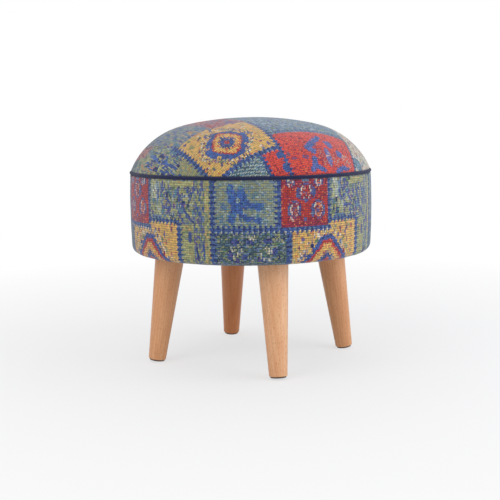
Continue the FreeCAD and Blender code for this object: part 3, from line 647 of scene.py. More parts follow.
def crownPoint(arc, inset=0.0):
    # radius and height of the seat's outside, at a length along the cloth from its middle
    shape = coverShape
    joint = math.asin(shape["shoulderX"] / (shape["crownRadius"] - shape["shoulderRadius"]))
    if arc <= shape["crownRadius"] * joint:
        lean = arc / shape["crownRadius"]
        reach = shape["crownRadius"] - inset
        return reach * math.sin(lean), shape["crownTop"] - shape["crownRadius"] + reach * math.cos(lean)
    lean = joint + (min(arc, shape["turnIn"]) - shape["crownRadius"] * joint) / shape["shoulderRadius"]
    reach = shape["shoulderRadius"] - inset
    radius, height = shape["shoulderX"] + reach * math.sin(lean), shape["shoulderZ"] + reach * math.cos(lean)
    if arc > shape["turnIn"]:
        curl = shape["curl"]
        turned = lean + (arc - shape["turnIn"]) / curl
        radius += curl * (math.sin(turned) - math.sin(lean))
        height += curl * (math.cos(turned) - math.cos(lean))
    return radius, height


def pointRound(radius, angle, height):
    return Vector((radius * math.cos(angle), radius * math.sin(angle), height))


def spunPiece(name, outline, angle, steps, closed=True):
    # an outline of (radius, height) drawn point by point, then spun round the stool's axis
    bpy.ops.object.select_all(action="DESELECT")
    bpy.ops.mesh.primitive_plane_add(size=0.01)
    piece = bpy.context.object
    piece.name = piece.data.name = name
    bpy.ops.object.mode_set(mode="EDIT")
    bpy.ops.mesh.select_mode(type="VERT")
    bpy.ops.mesh.select_all(action="SELECT")
    bpy.ops.mesh.merge(type="CENTER")
    points = [pointRound(radius, angle, height) for radius, height in outline]
    bpy.ops.transform.translate(value=points[0])
    for last, point in zip(points, points[1:]):
        bpy.ops.mesh.extrude_region_move(TRANSFORM_OT_translate={"value": point - last})
    if closed:
        drawn = bmesh.from_edit_mesh(piece.data)
        for vertex in drawn.verts:
            vertex.select = len(vertex.link_edges) == 1
        drawn.select_flush_mode()
        bmesh.update_edit_mesh(piece.data)
        bpy.ops.mesh.edge_face_add()
    bpy.ops.mesh.select_all(action="SELECT")
    bpy.ops.mesh.spin(steps=steps, angle=2 * math.pi, center=(0, 0, 0), axis=(0, 0, 1))
    bpy.ops.mesh.select_all(action="SELECT")
    bpy.ops.mesh.remove_doubles(threshold=0.00003)
    bpy.ops.mesh.normals_make_consistent(inside=False)
    bpy.ops.object.mode_set(mode="OBJECT")
    return piece


def meshPoints(piece):
    points = numpy.empty(len(piece.data.vertices) * 3)
    piece.data.vertices.foreach_get("co", points)
    return points.reshape(-1, 3)


def setPoints(piece, points):
    piece.data.vertices.foreach_set("co", numpy.ascontiguousarray(points).ravel())
    piece.data.update()


def polar(points):
    return numpy.hypot(points[:, 0], points[:, 1]), numpy.arctan2(points[:, 1], points[:, 0])


def setRound(piece, radius, angle, height):
    setPoints(piece, numpy.column_stack((radius * numpy.cos(angle), radius * numpy.sin(angle), height)))


def rising(value, start, over):
    return numpy.clip((value - start) / over, 0, 1)


def falling(value, end, over):
    return numpy.clip((end - value) / over, 0, 1)


def faceCorners(piece):
    # for each face corner: its vertex and its face
    mesh = piece.data
    vertex = numpy.empty(len(mesh.loops), int)
    mesh.loops.foreach_get("vertex_index", vertex)
    counts = numpy.empty(len(mesh.polygons), int)
    mesh.polygons.foreach_get("loop_total", counts)
    return vertex, numpy.repeat(numpy.arange(len(mesh.polygons)), counts)


def faceMiddles(piece):
    middles = numpy.empty(len(piece.data.polygons) * 3)
    piece.data.polygons.foreach_get("center", middles)
    return middles.reshape(-1, 3)


def addMap(piece, name, u, v):
    layer = piece.data.uv_layers.new(name=name)
    layer.data.foreach_set("uv", numpy.column_stack((u, v)).ravel())


def addYarns(piece, yarnOfFace, face):
    colours = numpy.array([dye(*yarnColours[name]) for name in yarnNames])
    layer = piece.data.color_attributes.new("yarnColour", "FLOAT_COLOR", "CORNER")
    layer.data.foreach_set("color", colours[yarnOfFace][face].ravel())


def pickOnly(piece):
    bpy.ops.object.select_all(action="DESELECT")
    piece.select_set(True)
    bpy.context.view_layer.objects.active = piece


def modify(piece, kind, **settings):
    # a modifier that is set and applied at once
    modifier = piece.modifiers.new(kind, kind)
    for setting, choice in settings.items():
        setattr(modifier, setting, choice)
    pickOnly(piece)
    bpy.ops.object.modifier_apply(modifier=kind)


def smoothShade(piece, angle):
    pickOnly(piece)
    bpy.ops.object.shade_smooth_by_angle(angle=math.radians(angle))


def waviness(points, scale, seed):
    return numpy.array([noise.noise(Vector(point) * scale + Vector((seed, 0, 0))) for point in points])


def wavesRound(angle, reach, seed):
    ring = numpy.column_stack((numpy.cos(angle) * reach, numpy.sin(angle) * reach, angle * 0))
    return waviness(ring, 1.0, seed)


jacquard = clothFinish()

# The band: its head turned in below the piping, its hem turned under the bottom board
bandShape = {"radius": 0.2233, "bulge": 0.0017, "head": 0.3485, "bottom": 0.2047, "corner": 0.014,
             "hem": 0.1896, "headCurl": 0.0021, "tuck": 0.0066, "columns": 640, "sideRows": 59,
             "cornerRows": 10, "hemRows": 9, "seamDepth": 0.0008, "seamWidth": 0.0018, "ridgeAway": 0.0055,
             "ridgeWidth": 0.0025, "ridgeHeight": 0.0003, "slack": 0.0005, "pleat": 0.0007, "bakeStrips": 3}


def bandOutline():
    shape = bandShape
    thickness = coverShape["thickness"]
    cornerZ = shape["bottom"] + shape["corner"]
    middle, half = (shape["head"] + cornerZ) / 2, (shape["head"] - cornerZ) / 2

    def sideRadius(height):
        return shape["radius"] + shape["bulge"] * (1 - min(1, abs(height - middle) / half) ** 2)
    outline = []
    curlZ = shape["head"] - stitchSize
    curlX = sideRadius(curlZ) - shape["headCurl"]
    outline.append((curlX - shape["tuck"], curlZ + shape["headCurl"]))
    outline.append((curlX - shape["tuck"] / 2, curlZ + shape["headCurl"]))
    for turned in (math.radians(lean) for lean in (90, 62, 36, 14)):
        outline.append((curlX + shape["headCurl"] * math.cos(turned),
                        curlZ + shape["headCurl"] * math.sin(turned)))
    firstRow = len(outline) - 1
    for row in range(1, shape["sideRows"] + 1):
        height = shape["head"] - row * stitchSize
        outline.append((sideRadius(height), height))
    cornerX = shape["radius"] - shape["corner"]
    for row in range(1, shape["cornerRows"] + 1):
        turned = math.pi / 2 * row / shape["cornerRows"]
        outline.append((cornerX + shape["corner"] * math.cos(turned),
                        cornerZ - shape["corner"] * math.sin(turned)))
    hemStep = (cornerX - shape["hem"]) / shape["hemRows"]
    for row in range(1, shape["hemRows"] + 1):
        outline.append((cornerX - row * hemStep, shape["bottom"]))
    lastRow = len(outline) - 1
    inside = [(shape["hem"], shape["bottom"] + thickness), (cornerX, shape["bottom"] + thickness)]
    inner = shape["corner"] - thickness
    for turned in (1.2, 0.8, 0.4, 0):
        inside.append((cornerX + inner * math.cos(turned), cornerZ - inner * math.sin(turned)))
    for share in (0.3, 0.5, 0.7):
        height = cornerZ + (shape["head"] - cornerZ) * share
        inside.append((sideRadius(height) - thickness, height))
    inside.append((sideRadius(curlZ) - thickness, curlZ - 0.0012))
    inside.append((curlX - 0.0004, curlZ + shape["headCurl"] - thickness))
    inside.append((curlX - shape["tuck"], curlZ + shape["headCurl"] - thickness))
    return outline + inside, firstRow, lastRow


def makeBand():
    shape = bandShape
    outline, firstRow, lastRow = bandOutline()
    seamAngle = towardsCamera + math.pi
    columns, step = shape["columns"], 2 * math.pi / shape["columns"]
    band = spunPiece("band_woven", outline, seamAngle, columns)
    drawn = numpy.array(outline)
    middles = (drawn + numpy.roll(drawn, -1, axis=0)) / 2

    def nearest(points, marks):
        return numpy.array([numpy.argmin((marks[:, 0] - radius) ** 2 + (marks[:, 1] - height) ** 2)
                            for radius, height in zip(polar(points)[0], points[:, 2])])
    points, faces = meshPoints(band), faceMiddles(band)
    mark, faceMark = nearest(points, drawn), nearest(faces, middles)
    faceColumn = numpy.floor((polar(faces)[1] - seamAngle) / step).astype(int) % columns
    vertexColumn = numpy.round((polar(points)[1] - seamAngle) / step).astype(int) % columns
    vertex, face = faceCorners(band)
    u = faceColumn[face] + numpy.minimum((vertexColumn[vertex] - faceColumn[face]) % columns, 1)
    closing = (faceMark[face] == len(outline) - 1) & (mark[vertex] == 0)
    v = mark[vertex] - firstRow + numpy.where(closing, len(outline), 0)
    addMap(band, "stitchMap", u, v)
    # the bake map: strips, one above the other, with the inside of the cloth squeezed small
    weight = numpy.where(numpy.arange(len(outline)) >= lastRow, 0.25, 1.0)
    reached = numpy.concatenate(([0.0], numpy.cumsum(weight)))
    wide = math.ceil(columns / shape["bakeStrips"])
    strip = faceColumn[face] // wide
    addMap(band, "OFBake", 0.004 + 0.992 * (u - strip * wide) / wide,
           (strip + 0.01 + 0.98 * reached[v + firstRow] / reached[-1]) / shape["bakeStrips"])
    woven = bandCloth(columns, lastRow - firstRow)
    row = numpy.clip(faceMark - firstRow, 0, woven.shape[0] - 1)
    addYarns(band, woven[row, faceColumn], face)
    # the upright seam at the back, the give of the foam, and the puckers of the turned hem
    radius, angle = polar(points)
    height, bottom = points[:, 2], shape["bottom"]
    fromSeam = abs((angle - seamAngle + math.pi) % (2 * math.pi) - math.pi) * shape["radius"]
    groove = numpy.exp(-(fromSeam / shape["seamWidth"]) ** 2)
    ridge = numpy.exp(-((fromSeam - shape["ridgeAway"]) / shape["ridgeWidth"]) ** 2)
    give = shape["slack"] * (waviness(points, 11.0, 4.0) + 0.35 * waviness(points, 34.0, 9.0))
    push = give + shape["ridgeHeight"] * ridge - shape["seamDepth"] * groove
    push *= rising(height, bottom + 0.016, 0.02) * falling(height, shape["head"] - 0.0015, 0.012)
    lift = falling(height, bottom + 0.017, 0.012) * rising(radius, 0.2045, 0.006) * shape["pleat"]
    lift *= wavesRound(angle, 8, 2.0) - 0.2
    setRound(band, radius + push, angle, height + lift)
    band.data.materials.append(jacquard)
    smoothShade(band, 60)
    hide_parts("side_band")
    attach(band, "root")
    return band


band = makeBand()
print("band woven,", len(band.data.polygons), "faces")

# The seat cushion swells out of a slightly smaller form and is held at the seam
cushionShape = {"inset": 0.0004, "voxel": 0.006, "pressure": 13.0, "cap": 0.0024, "foot": 0.3541,
                "frames": 20, "least": 0.0001, "most": 0.0008, "stiffness": 3000, "restsTo": 0.243}


def plumpCushion():
    shape = cushionShape
    outline = [(0.0, crownPoint(0, shape["inset"])[1])]
    outline += [crownPoint(arc * 0.001, shape["inset"]) for arc in range(8, 252, 6)]
    outline += [(outline[-1][0] - 0.001, shape["foot"]), (0.15, shape["foot"]), (0.0, shape["foot"])]
    form = spunPiece("cushion_form", outline, 0.0, 96, closed=False)
    modify(form, "REMESH", mode="VOXEL", voxel_size=shape["voxel"])
    modify(form, "SMOOTH", iterations=6)
    start = meshPoints(form)
    held = form.vertex_groups.new(name="held")
    for index in numpy.flatnonzero(start[:, 2] < shape["foot"] + 0.006):
        held.add([int(index)], 1.0, "REPLACE")
    swell = form.modifiers.new("swell", "CLOTH")
    swell.settings.use_pressure = True
    swell.settings.uniform_pressure_force = shape["pressure"]
    swell.settings.effector_weights.gravity = 0
    swell.settings.vertex_group_mass = "held"
    for step in range(1, shape["frames"] + 1):
        bpy.context.scene.frame_set(step)
    bpy.ops.object.modifier_apply(modifier="swell")
    bpy.context.scene.frame_set(1)
    moved = meshPoints(form) - start
    length = numpy.linalg.norm(moved, axis=1)
    print("cushion swelled by up to", round(float(length.max()) * 1000, 2), "mm")
    moved *= (numpy.minimum(length, shape["cap"]) / numpy.maximum(length, 1e-9))[:, None]
    setPoints(form, start + moved)
    modify(form, "SUBSURF", levels=1, render_levels=1)
    return form


def settleOnCushion(cover, arc):
    # the cloth comes to rest on the swelled cushion, held at the seam
    shape = cushionShape
    laid = meshPoints(cover)
    normals = numpy.empty(len(laid) * 3)
    cover.data.vertices.foreach_get("normal", normals)
    normals = normals.reshape(-1, 3)
    form = plumpCushion()
    resting = cover.vertex_groups.new(name="resting")
    for index, weight in enumerate(falling(arc, shape["restsTo"], 0.02)):
        if weight > 0:
            resting.add([index], float(weight), "REPLACE")
    modify(cover, "SHRINKWRAP", target=form, wrap_method="NEAREST_SURFACEPOINT", vertex_group="resting")
    modify(cover, "SMOOTH", iterations=4, vertex_group="resting")
    bpy.data.objects.remove(form)
    cover.vertex_groups.clear()
    # it follows the cushion along its own normal, and the wadding keeps it from sinking in
    moved = ((meshPoints(cover) - laid) * normals).sum(axis=1)
    print("cloth moved by up to", round(float(moved.max()) * 1000, 2), "mm")
    above = numpy.logaddexp(0, (moved - shape["least"]) * shape["stiffness"]) / shape["stiffness"]
    moved = numpy.minimum(shape["least"] + above, shape["most"]) * falling(arc, shape["restsTo"], 0.04)
    setPoints(cover, laid + normals * moved[:, None])


def makeSeatCover():
    shape = coverShape
    count = shape["stitches"]
    bpy.ops.object.select_all(action="DESELECT")
    bpy.ops.mesh.primitive_grid_add(x_subdivisions=count, y_subdivisions=count, size=count * stitchSize)
    cover = bpy.context.object
    cover.name = cover.data.name = "seat_cover_woven"
    bpy.ops.object.mode_set(mode="EDIT")
    bpy.ops.mesh.select_all(action="DESELECT")
    bpy.ops.object.mode_set(mode="OBJECT")
    cover.data.vertices.foreach_set("select", polar(meshPoints(cover))[0] > shape["clothRadius"])
    bpy.ops.object.mode_set(mode="EDIT")
    bpy.ops.mesh.select_mode(type="VERT")
    bpy.ops.mesh.delete(type="VERT")
    # the cut edge, drawn out to the circle
    bpy.ops.mesh.select_all(action="SELECT")
    bpy.ops.mesh.region_to_loop()
    cut = bmesh.from_edit_mesh(cover.data)
    edge = [vertex.index for vertex in cut.verts if vertex.select]
    bpy.ops.mesh.select_mode(type="FACE")
    bpy.ops.object.mode_set(mode="OBJECT")
    faces, points = faceMiddles(cover), meshPoints(cover)
    column = numpy.clip(numpy.floor(faces[:, 0] / stitchSize + count / 2), 0, count - 1).astype(int)
    row = numpy.clip(numpy.floor(count / 2 - faces[:, 1] / stitchSize), 0, count - 1).astype(int)
    vertex, face = faceCorners(cover)
    addMap(cover, "stitchMap", points[vertex, 0] / stitchSize + count / 2,
           count / 2 - points[vertex, 1] / stitchSize)
    points[edge] *= (shape["clothRadius"] / polar(points[edge])[0])[:, None]
    side = 2 * shape["clothRadius"] * 1.01
    addMap(cover, "OFBake", points[vertex, 0] / side + 0.5, points[vertex, 1] / side + 0.5)
    addYarns(cover, seatCloth(count)[row, column], face)
    # laid over the dome, with small puckers where it is gathered into the seam
    arc, angle = polar(points)
    angle += math.radians(shape["clothTurn"])
    lifted = numpy.array([crownPoint(length) for length in arc])
    gathered = rising(arc, 0.225, 0.025) * falling(arc, 0.2575, 0.004) * shape["pucker"]
    dented = falling(arc, 0.24, 0.05) * shape["pucker"]
    setRound(cover, lifted[:, 0] + gathered * wavesRound(angle, 12, 7.0), angle,
             lifted[:, 1] + dented * (waviness(points, 9.0, 3.0) - 0.5))
    settleOnCushion(cover, arc)
    outside = len(cover.data.polygons)
    modify(cover, "SOLIDIFY", thickness=shape["thickness"], offset=-1)
    # the inside of the cloth bakes in a corner of its own
    vertex, face = faceCorners(cover)
    bake = cover.data.uv_layers["OFBake"]
    places = numpy.empty(len(cover.data.loops) * 2)
    bake.data.foreach_get("uv", places)
    places = places.reshape(-1, 2)
    inside = face >= outside
    places[inside] = 0.003 + places[inside] * 0.13
    bake.data.foreach_set("uv", places.ravel())
    cover.data.materials.append(jacquard)
    smoothShade(cover, 60)
    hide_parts("top_cover")
    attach(cover, "root")
    return cover


seatCover = makeSeatCover()
print("seat cover laid,", len(seatCover.data.polygons), "faces")

# Piping: a cord in a strip of navy cloth cut across the grain, its flange sewn into the seam
pipingShape = {"radius": coverShape["pipingRadius"], "flange": 0.0085, "flangeHalf": 0.00075, "sides": 22,
               "steps": 480, "joint": 0.012, "lap": 0.0004, "thread": 0.0011}


def pipingFinish():
    finish = newFinish("piping_cloth", 0.8, Sheen_Weight=0.2, Sheen_Roughness=0.4, Specular_IOR_Level=0.25)
    threads = addNode("UVMap", uv_map="stitchMap").outputs[0]
    split = parts(threads)
    twill = sums("MULTIPLY", wave(sums("ADD", split[0], split[1])),
                 wave(sums("SUBTRACT", split[0], split[1])))
    fuzz = speckle(threads, 2.2, 4.0, 0.7)
    tone = between(sums("MULTIPLY_ADD", twill, 0.25, fuzz), 0.1, 0.95)
    toShader("Base Color", shades(tone, (12, 17, 46), (40, 48, 92)))
    roughen(sums("MULTIPLY_ADD", fuzz, 0.5, twill), 0.5, 0.00025)
    return finish


def makePiping():
    shape = pipingShape
    seamRadius, seamHeight, radius = coverShape["seamRadius"], coverShape["seamHeight"], shape["radius"]
    opening = math.asin(shape["flangeHalf"] / radius)
    outline = [(seamRadius - shape["flange"], seamHeight + shape["flangeHalf"])]
    for side in range(shape["sides"] + 1):
        turned = math.pi - opening - (2 * math.pi - 2 * opening) * side / shape["sides"]
        outline.append((seamRadius + radius * math.cos(turned), seamHeight + radius * math.sin(turned)))
    outline.append((seamRadius - shape["flange"], seamHeight - shape["flangeHalf"]))
    piping = spunPiece("piping_covered", outline, towardsCamera + math.pi, shape["steps"])
    points, faces = meshPoints(piping), faceMiddles(piping)
    vertex, face = faceCorners(piping)

    def around(places):
        return polar(places)[1]

    def over(places):
        return numpy.arctan2(places[:, 2] - seamHeight, polar(places)[0] - seamRadius)

    def unbroken(turnOf):
        # a corner's turn, counted on from its face's own, so that no face spans the whole way back
        own = turnOf(faces)[face]
        return own + (turnOf(points)[vertex] - own + math.pi) % (2 * math.pi) - math.pi
    length = 2 * math.pi * seamRadius
    addMap(piping, "stitchMap", unbroken(around) / (2 * math.pi) * round(length / shape["thread"]),
           unbroken(over) * radius / shape["thread"])
    # the cord lies a little unevenly, and one end of its cloth laps the other at the back
    fromJoint = (around(points) - towardsCamera - math.pi) % (2 * math.pi) * seamRadius
    fromJoint = numpy.minimum(fromJoint, length - fromJoint)
    centre = numpy.column_stack((seamRadius * numpy.cos(around(points)),
                                 seamRadius * numpy.sin(around(points)),
                                 numpy.full(len(points), seamHeight)))
    out = points - centre
    onCord = numpy.linalg.norm(out, axis=1) < radius * 1.05
    lap = shape["lap"] / radius * falling(fromJoint, shape["joint"], 0.0008)
    swelled = numpy.where(onCord, lap + 0.06 * waviness(centre, 60.0, 1.0), 0)
    points = centre + out * (1 + swelled)[:, None]
    points[:, 2] += 0.0004 * waviness(centre, 14.0, 6.0)
    setPoints(piping, points)
    piping.data.materials.append(pipingFinish())
    smoothShade(piping, 50)
    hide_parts("piping_wrap")
    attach(piping, "root")


makePiping()
print("piping sewn in")


# Beech, with its grain along the leg and small flecks across it
legShape = {"circle": 0.1545, "top": bandShape["bottom"] + 0.0004, "splay": math.radians(8.5)}
legCorners = {"front_right": -45, "back_right": 45, "back_left": 135, "front_left": 225}
# each leg gets its own darker and lighter tone of its grain: painted light and shade, lightest on the lit
# front leg and darker, more orange on the shaded back ones
legLitAndShadedTones = {"front_right": ((224, 150, 98), (254, 208, 160)), "back_left": ((196, 112, 60), (232, 158, 100)),
            "back_right": ((206, 130, 78), (248, 190, 136)), "front_left": ((212, 136, 82), (250, 194, 142))}


def beechFinish(name, corner, seed):
    finish = newFinish("beech_" + name, 0.42, Coat_Weight=0.45, Coat_Roughness=0.35, Specular_IOR_Level=0.5)
    spin = math.radians(corner)
    lean = (Matrix.Rotation(spin, 3, "Z") @ Matrix.Rotation(-legShape["splay"], 3, "Y")).to_euler()
    where = coordinates(pointRound(legShape["circle"], spin, legShape["top"]), lean)
    shift = (seed * 0.37, seed * 0.21, seed * 0.53)
    where = addNode("VectorMath", {0: where, 1: shift}, operation="ADD").outputs[0]
    drift = speckle(stretched(where, (14.0, 14.0, 3.0)), 1.0, 2.0)
    pores = speckle(stretched(where, (1900.0, 1900.0, 70.0)), 1.0, 3.0, 0.6)
    streaks = speckle(stretched(where, (260.0, 260.0, 5.0)), 1.0, 3.0, 0.6)
    flecks = addNode("TexVoronoi", {"Vector": stretched(where, (440.0, 440.0, 150.0)), "Scale": 1.0},
                     feature="F1").outputs["Distance"]
    rings = wave(sums("MULTIPLY_ADD", drift, 0.011, parts(where)[0]), 0.0042)
    tone = sums("MULTIPLY_ADD", rings, 0.05, sums("MULTIPLY_ADD", streaks, 0.55, 0.22))
    tone = sums("MULTIPLY_ADD", drift, 0.6, sums("SUBTRACT", tone, 0.3))
    # the grain's two tones carry the painted light and shade given to this leg
    colour = shades(between(tone, 0.2, 0.85), *legLitAndShadedTones[name])
    colour = blendColours(between(flecks, 0.14, 0.32, 0.6, 0.0), colour, dye(186, 118, 72))
    toShader("Base Color", blendColours(between(pores, 0.56, 0.72, 0.0, 0.16), colour, dye(158, 102, 64)))
    roughen(sums("MULTIPLY_ADD", pores, -0.7, streaks), 0.08, 0.0004)
    return finish


for number, (name, corner) in enumerate(legCorners.items()):
    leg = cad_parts["leg_" + name]
    leg.data.materials.clear()
    leg.data.materials.append(beechFinish(name, corner, number + 1))
print("legs grained")


# Felt glides under the legs, one modelled and turned to each corner
glideShape = {"radius": 0.014, "thickness": 0.0025, "edge": 0.0004, "rings": 3}


def feltFinish():
    finish = newFinish("wool_felt", 0.95, Sheen_Weight=0.4, Sheen_Roughness=0.6)
    fibres = speckle(coordinates(), 1400.0, 5.0, 0.75)
    tone = sums("MULTIPLY_ADD", speckle(coordinates(), 160.0, 2.0), 0.4, fibres)
    toShader("Base Color", shades(between(tone, 0.4, 1.0), (44, 36, 32), (104, 90, 80)))
    roughen(fibres, 0.8, 0.0004)
    return finish


def makeGlide():
    shape = glideShape
    bpy.ops.object.select_all(action="DESELECT")
    bpy.ops.mesh.primitive_cylinder_add(vertices=64, radius=shape["radius"], depth=shape["thickness"],
                                        location=(0, 0, shape["thickness"] / 2))
    glide = bpy.context.object
    bpy.ops.object.transform_apply(location=True, rotation=True, scale=True)
    bpy.ops.object.mode_set(mode="EDIT")
    bpy.ops.mesh.select_all(action="DESELECT")
    bpy.ops.mesh.select_mode(type="FACE")
    drawn = bmesh.from_edit_mesh(glide.data)
    for face in drawn.faces:
        face.select = abs(face.normal.z) > 0.9
    bmesh.update_edit_mesh(glide.data)
    for _ in range(shape["rings"]):
        bpy.ops.mesh.inset(thickness=shape["radius"] * 0.22)
    bpy.ops.mesh.select_all(action="DESELECT")
    bpy.ops.mesh.select_mode(type="EDGE")
    drawn = bmesh.from_edit_mesh(glide.data)
    for edge in drawn.edges:
        edge.select = all(abs(math.hypot(v.co.x, v.co.y) - shape["radius"]) < 1e-5 for v in edge.verts) and \
            abs(edge.verts[0].co.z - edge.verts[1].co.z) < 1e-6
    bmesh.update_edit_mesh(glide.data)
    bpy.ops.mesh.bevel(offset=shape["edge"], segments=3)
    bpy.ops.object.mode_set(mode="OBJECT")
    points = meshPoints(glide)
    middle = polar(points)[0] < shape["radius"] * 0.95
    points[:, 2] += numpy.where(middle, 0.00012 * waviness(points, 420.0, 5.0), 0)
    rim = 1 + numpy.where(middle, 0, 0.006 * waviness(points, 300.0, 8.0) - 0.003)
    points[:, :2] *= rim[:, None]
    setPoints(glide, points)
    return glide


felt = feltFinish()
pattern = makeGlide()
# from the drum along the leg's own axis to the floor, where the glide stands on its inner edge
legLength = legShape["top"] / math.cos(legShape["splay"]) - glideShape["radius"] * math.tan(legShape["splay"])
for name, corner in legCorners.items():
    glide = pattern.copy()
    glide.data = pattern.data.copy()
    glide.name = glide.data.name = "felt_glide_" + name
    bpy.context.collection.objects.link(glide)
    place = (Matrix.Rotation(math.radians(corner), 4, "Z")
             @ Matrix.Translation((legShape["circle"], 0, legShape["top"]))
             @ Matrix.Rotation(-legShape["splay"], 4, "Y") @ Matrix.Translation((0, 0, -legLength)))
    glide.data.transform(place)
    glide.data.materials.append(felt)
    smoothShade(glide, 40)
    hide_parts("felt_pad_" + name)
    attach(glide, "root")
bpy.data.objects.remove(pattern)
print("glides placed")


# Dust cloth: a disc of black bonded fibre, stapled over the hem
dustShape = {"radius": 0.2036, "flat": 0.188, "step": 0.1895, "high": bandShape["bottom"] + 0.0004,
             "low": bandShape["bottom"] - 0.0015, "thickness": 0.0006, "rings": 24, "sag": 0.0016,
             "ripple": 0.0005, "plateClear": 0.042, "pinks": 24}


def dustFinish():
    finish = newFinish("bonded_fibre", 0.9, Specular_IOR_Level=0.2)
    where = coordinates()
    split = parts(where)
    dimple = sums("MULTIPLY", wave(split[0], 0.0016), wave(split[1], 0.0016))
    fibres = speckle(where, 900.0, 4.0, 0.7)
    tone = between(sums("MULTIPLY_ADD", dimple, 0.12, fibres), 0.3, 0.8)
    toShader("Base Color", shades(tone, (22, 22, 24), (58, 58, 62)))
    roughen(sums("MULTIPLY_ADD", dimple, 0.5, fibres), 0.5, 0.0003)
    return finish


def makeDustCloth():
    shape = dustShape
    outline = [(0.0, shape["high"])]
    outline += [(shape["flat"] * ring / shape["rings"], shape["high"])
                for ring in range(1, shape["rings"] + 1)]
    outline.append((shape["step"], shape["low"] + 0.0002))
    outline += [(radius, shape["low"]) for radius in (0.194, 0.199, shape["radius"])]
    cloth = spunPiece("dust_sheet", outline, 0.0, 192, closed=False)
    points = meshPoints(cloth)
    radius, angle = polar(points)
    # it sags where neither the staples nor the legs' plates hold it, and its edge is pinked
    free = falling(radius, 0.186, 0.03)
    for corner in legCorners.values():
        spot = pointRound(legShape["circle"], math.radians(corner), 0)
        free *= rising(numpy.hypot(points[:, 0] - spot.x, points[:, 1] - spot.y), shape["plateClear"], 0.02)
    sag = shape["sag"] * (waviness(points, 9.0, 2.0) * 0.6 + 0.7)
    sag += shape["ripple"] * waviness(points, 30.0, 5.0)
    points[:, 2] -= numpy.maximum(sag, 0) * free
    pinked = 1 - rising(radius, 0.2, 0.0036) * 0.002 * (0.5 + 0.5 * numpy.cos(angle * shape["pinks"]))
    points[:, :2] *= pinked[:, None]
    setPoints(cloth, points)
    bpy.ops.object.mode_set(mode="EDIT")
    bpy.ops.mesh.select_all(action="SELECT")
    bpy.ops.mesh.flip_normals()
    bpy.ops.object.mode_set(mode="OBJECT")
    modify(cloth, "SOLIDIFY", thickness=shape["thickness"], offset=-1)
    cloth.data.materials.append(dustFinish())
    smoothShade(cloth, 50)
    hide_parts("dust_cover")
    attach(cloth, "root")


makeDustCloth()
print("dust cloth stretched")


# Finishes for what is inside the drum and of the fittings
def boardFinish():
    finish = newFinish("plywood", 0.7, Specular_IOR_Level=0.3)
    where = coordinates()
    grain = speckle(stretched(where, (6.0, 90.0, 90.0)), 1.0, 4.0)
    tone = between(sums("MULTIPLY_ADD", wave(parts(where)[2], 0.003), 0.18, grain), 0.2, 0.8)
    toShader("Base Color", shades(tone, (176, 140, 98), (222, 194, 150)))
    roughen(grain, 0.3, 0.0004)
    return finish


def woodFinish(name, dark, light, scale, gloss=0.7):
    finish = newFinish(name, gloss, Specular_IOR_Level=0.3)
    grain = speckle(stretched(coordinates(), scale), 1.0, 5.0, 0.6)
    toShader("Base Color", shades(between(grain, 0.3, 0.7), dark, light))
    roughen(grain, 0.35, 0.0005)
    return finish


def metalFinish(name, dark, light, roughness):
    finish = newFinish(name, roughness, Metallic=1.0)
    where = coordinates()
    brushed = speckle(stretched(where, (900.0, 120.0, 500.0)), 1.0, 3.0)
    spangle = addNode("TexVoronoi", {"Vector": where, "Scale": 260.0}).outputs["Color"]
    grey = addNode("RGBToBW", {"Color": spangle}).outputs[0]
    tone = sums("MULTIPLY_ADD", grey, 0.5, sums("MULTIPLY", brushed, 0.5))
    toShader("Base Color", shades(tone, dark, light))
    toShader("Roughness", between(brushed, 0.3, 0.7, roughness - 0.08, roughness + 0.12))
    roughen(brushed, 0.12, 0.0002)
    return finish


finishes = {
    "plywood": boardFinish(),
    "softwood": woodFinish("softwood", (204, 164, 108), (236, 206, 156), (70.0, 70.0, 4.0)),
    "hardboard": woodFinish("hardboard", (98, 66, 42), (140, 102, 68), (160.0, 160.0, 160.0)),
    "foam": woodFinish("seat_foam", (222, 206, 160), (246, 236, 204), (420.0, 420.0, 420.0), 0.95),
    "wadding": woodFinish("wadding", (222, 222, 218), (250, 250, 248), (120.0, 120.0, 120.0), 0.98),
    "filler_cord": woodFinish("filler_cord", (206, 200, 184), (240, 236, 224), (500.0, 500.0, 900.0), 0.9),
    "zinc_steel": metalFinish("zinc_steel", (150, 154, 160), (206, 210, 214), 0.34),
    "staple_steel": metalFinish("staple_steel", (176, 178, 182), (226, 228, 230), 0.25)}
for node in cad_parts.values():
    for place in node.material_slots:
        slotName = place.material.name.split(".")[0] if place.material else ""
        place.material = finishes.get(slotName, place.material)
print("fittings and filling finished")


# Plain pale floor, soft lamps and a white surround
studio = {"floor": 14.0, "surround": 0.55, "floorShare": 0.62, "pool": (0.4, 1.3), "aim": 0.25}
# each lamp: degrees round from the camera, how far out and up, its side, its power and its colour
lamps = {"key": (-48, 1.9, 1.5, 1.5, 11.4, (1.0, 0.98, 0.95)),
         "fill": (70, 2.0, 1.0, 1.8, 19.0, (0.95, 0.97, 1.0)),
         "top": (180, 0.5, 2.3, 2.2, 8.8, (1.0, 1.0, 1.0))}

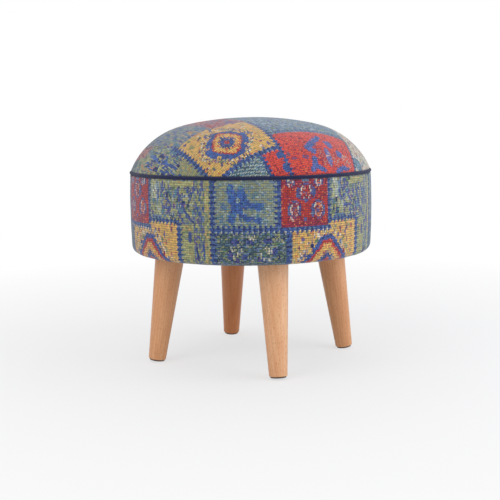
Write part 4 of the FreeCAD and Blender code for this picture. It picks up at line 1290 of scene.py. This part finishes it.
bpy.ops.object.select_all(action="DESELECT")
bpy.ops.mesh.primitive_plane_add(size=studio["floor"])
floor = bpy.context.object
floor.name = floor.data.name = "floor"
paint = bench["finish"] = bpy.data.materials.new("floor_paint")
paint.use_nodes = True
paint.node_tree.nodes.clear()
lit = addNode("BsdfDiffuse", {"Color": (0.86, 0.86, 0.87, 1)}).outputs[0]
white = addNode("Emission", {"Color": (1, 1, 1, 1), "Strength": 1.0}).outputs[0]
clear = addNode("BsdfTransparent").outputs[0]
# the camera sees more and more plain white, away from the stool, and nothing from below
away = addNode("VectorMath", {0: addNode("TexCoord").outputs["Object"]}, operation="LENGTH").outputs["Value"]
share = between(away, *studio["pool"], studio["floorShare"], 1.0)
seen = sums("MULTIPLY", share, addNode("LightPath").outputs["Is Camera Ray"])
front = addNode("MixShader", {0: seen, 1: lit, 2: white}).outputs[0]
behind = addNode("NewGeometry").outputs["Backfacing"]
addNode("OutputMaterial", {"Surface": addNode("MixShader", {0: behind, 1: front, 2: clear}).outputs[0]})
floor.data.materials.append(paint)

world = bench["finish"] = bpy.context.scene.world or bpy.data.worlds.new("surround")
bpy.context.scene.world = world
world.use_nodes = True
world.node_tree.nodes.clear()
air = addNode("Background", {"Color": (0.95, 0.97, 1, 1), "Strength": studio["surround"]}).outputs[0]
shown = addNode("Background", {"Color": (1, 1, 1, 1), "Strength": 1.0}).outputs[0]
ray = addNode("LightPath").outputs
seen = sums("MAXIMUM", ray["Is Camera Ray"], ray["Is Transmission Ray"])
seen = sums("MAXIMUM", seen, ray["Is Glossy Ray"])
addNode("OutputWorld", {"Surface": addNode("MixShader", {0: seen, 1: air, 2: shown}).outputs[0]})

for name, (angle, out, height, size, power, colour) in lamps.items():
    bpy.ops.object.light_add(type="AREA")
    lamp = bpy.context.object
    lamp.name = name
    lamp.data.size = size
    lamp.data.energy = power
    lamp.data.color = colour
    lamp.location = pointRound(out, towardsCamera + math.radians(angle), height)
    aim = Vector((0, 0, studio["aim"])) - lamp.location
    lamp.rotation_euler = aim.to_track_quat("-Z", "Y").to_euler()
bpy.context.scene.view_settings.view_transform = "Standard"
print("studio lit")
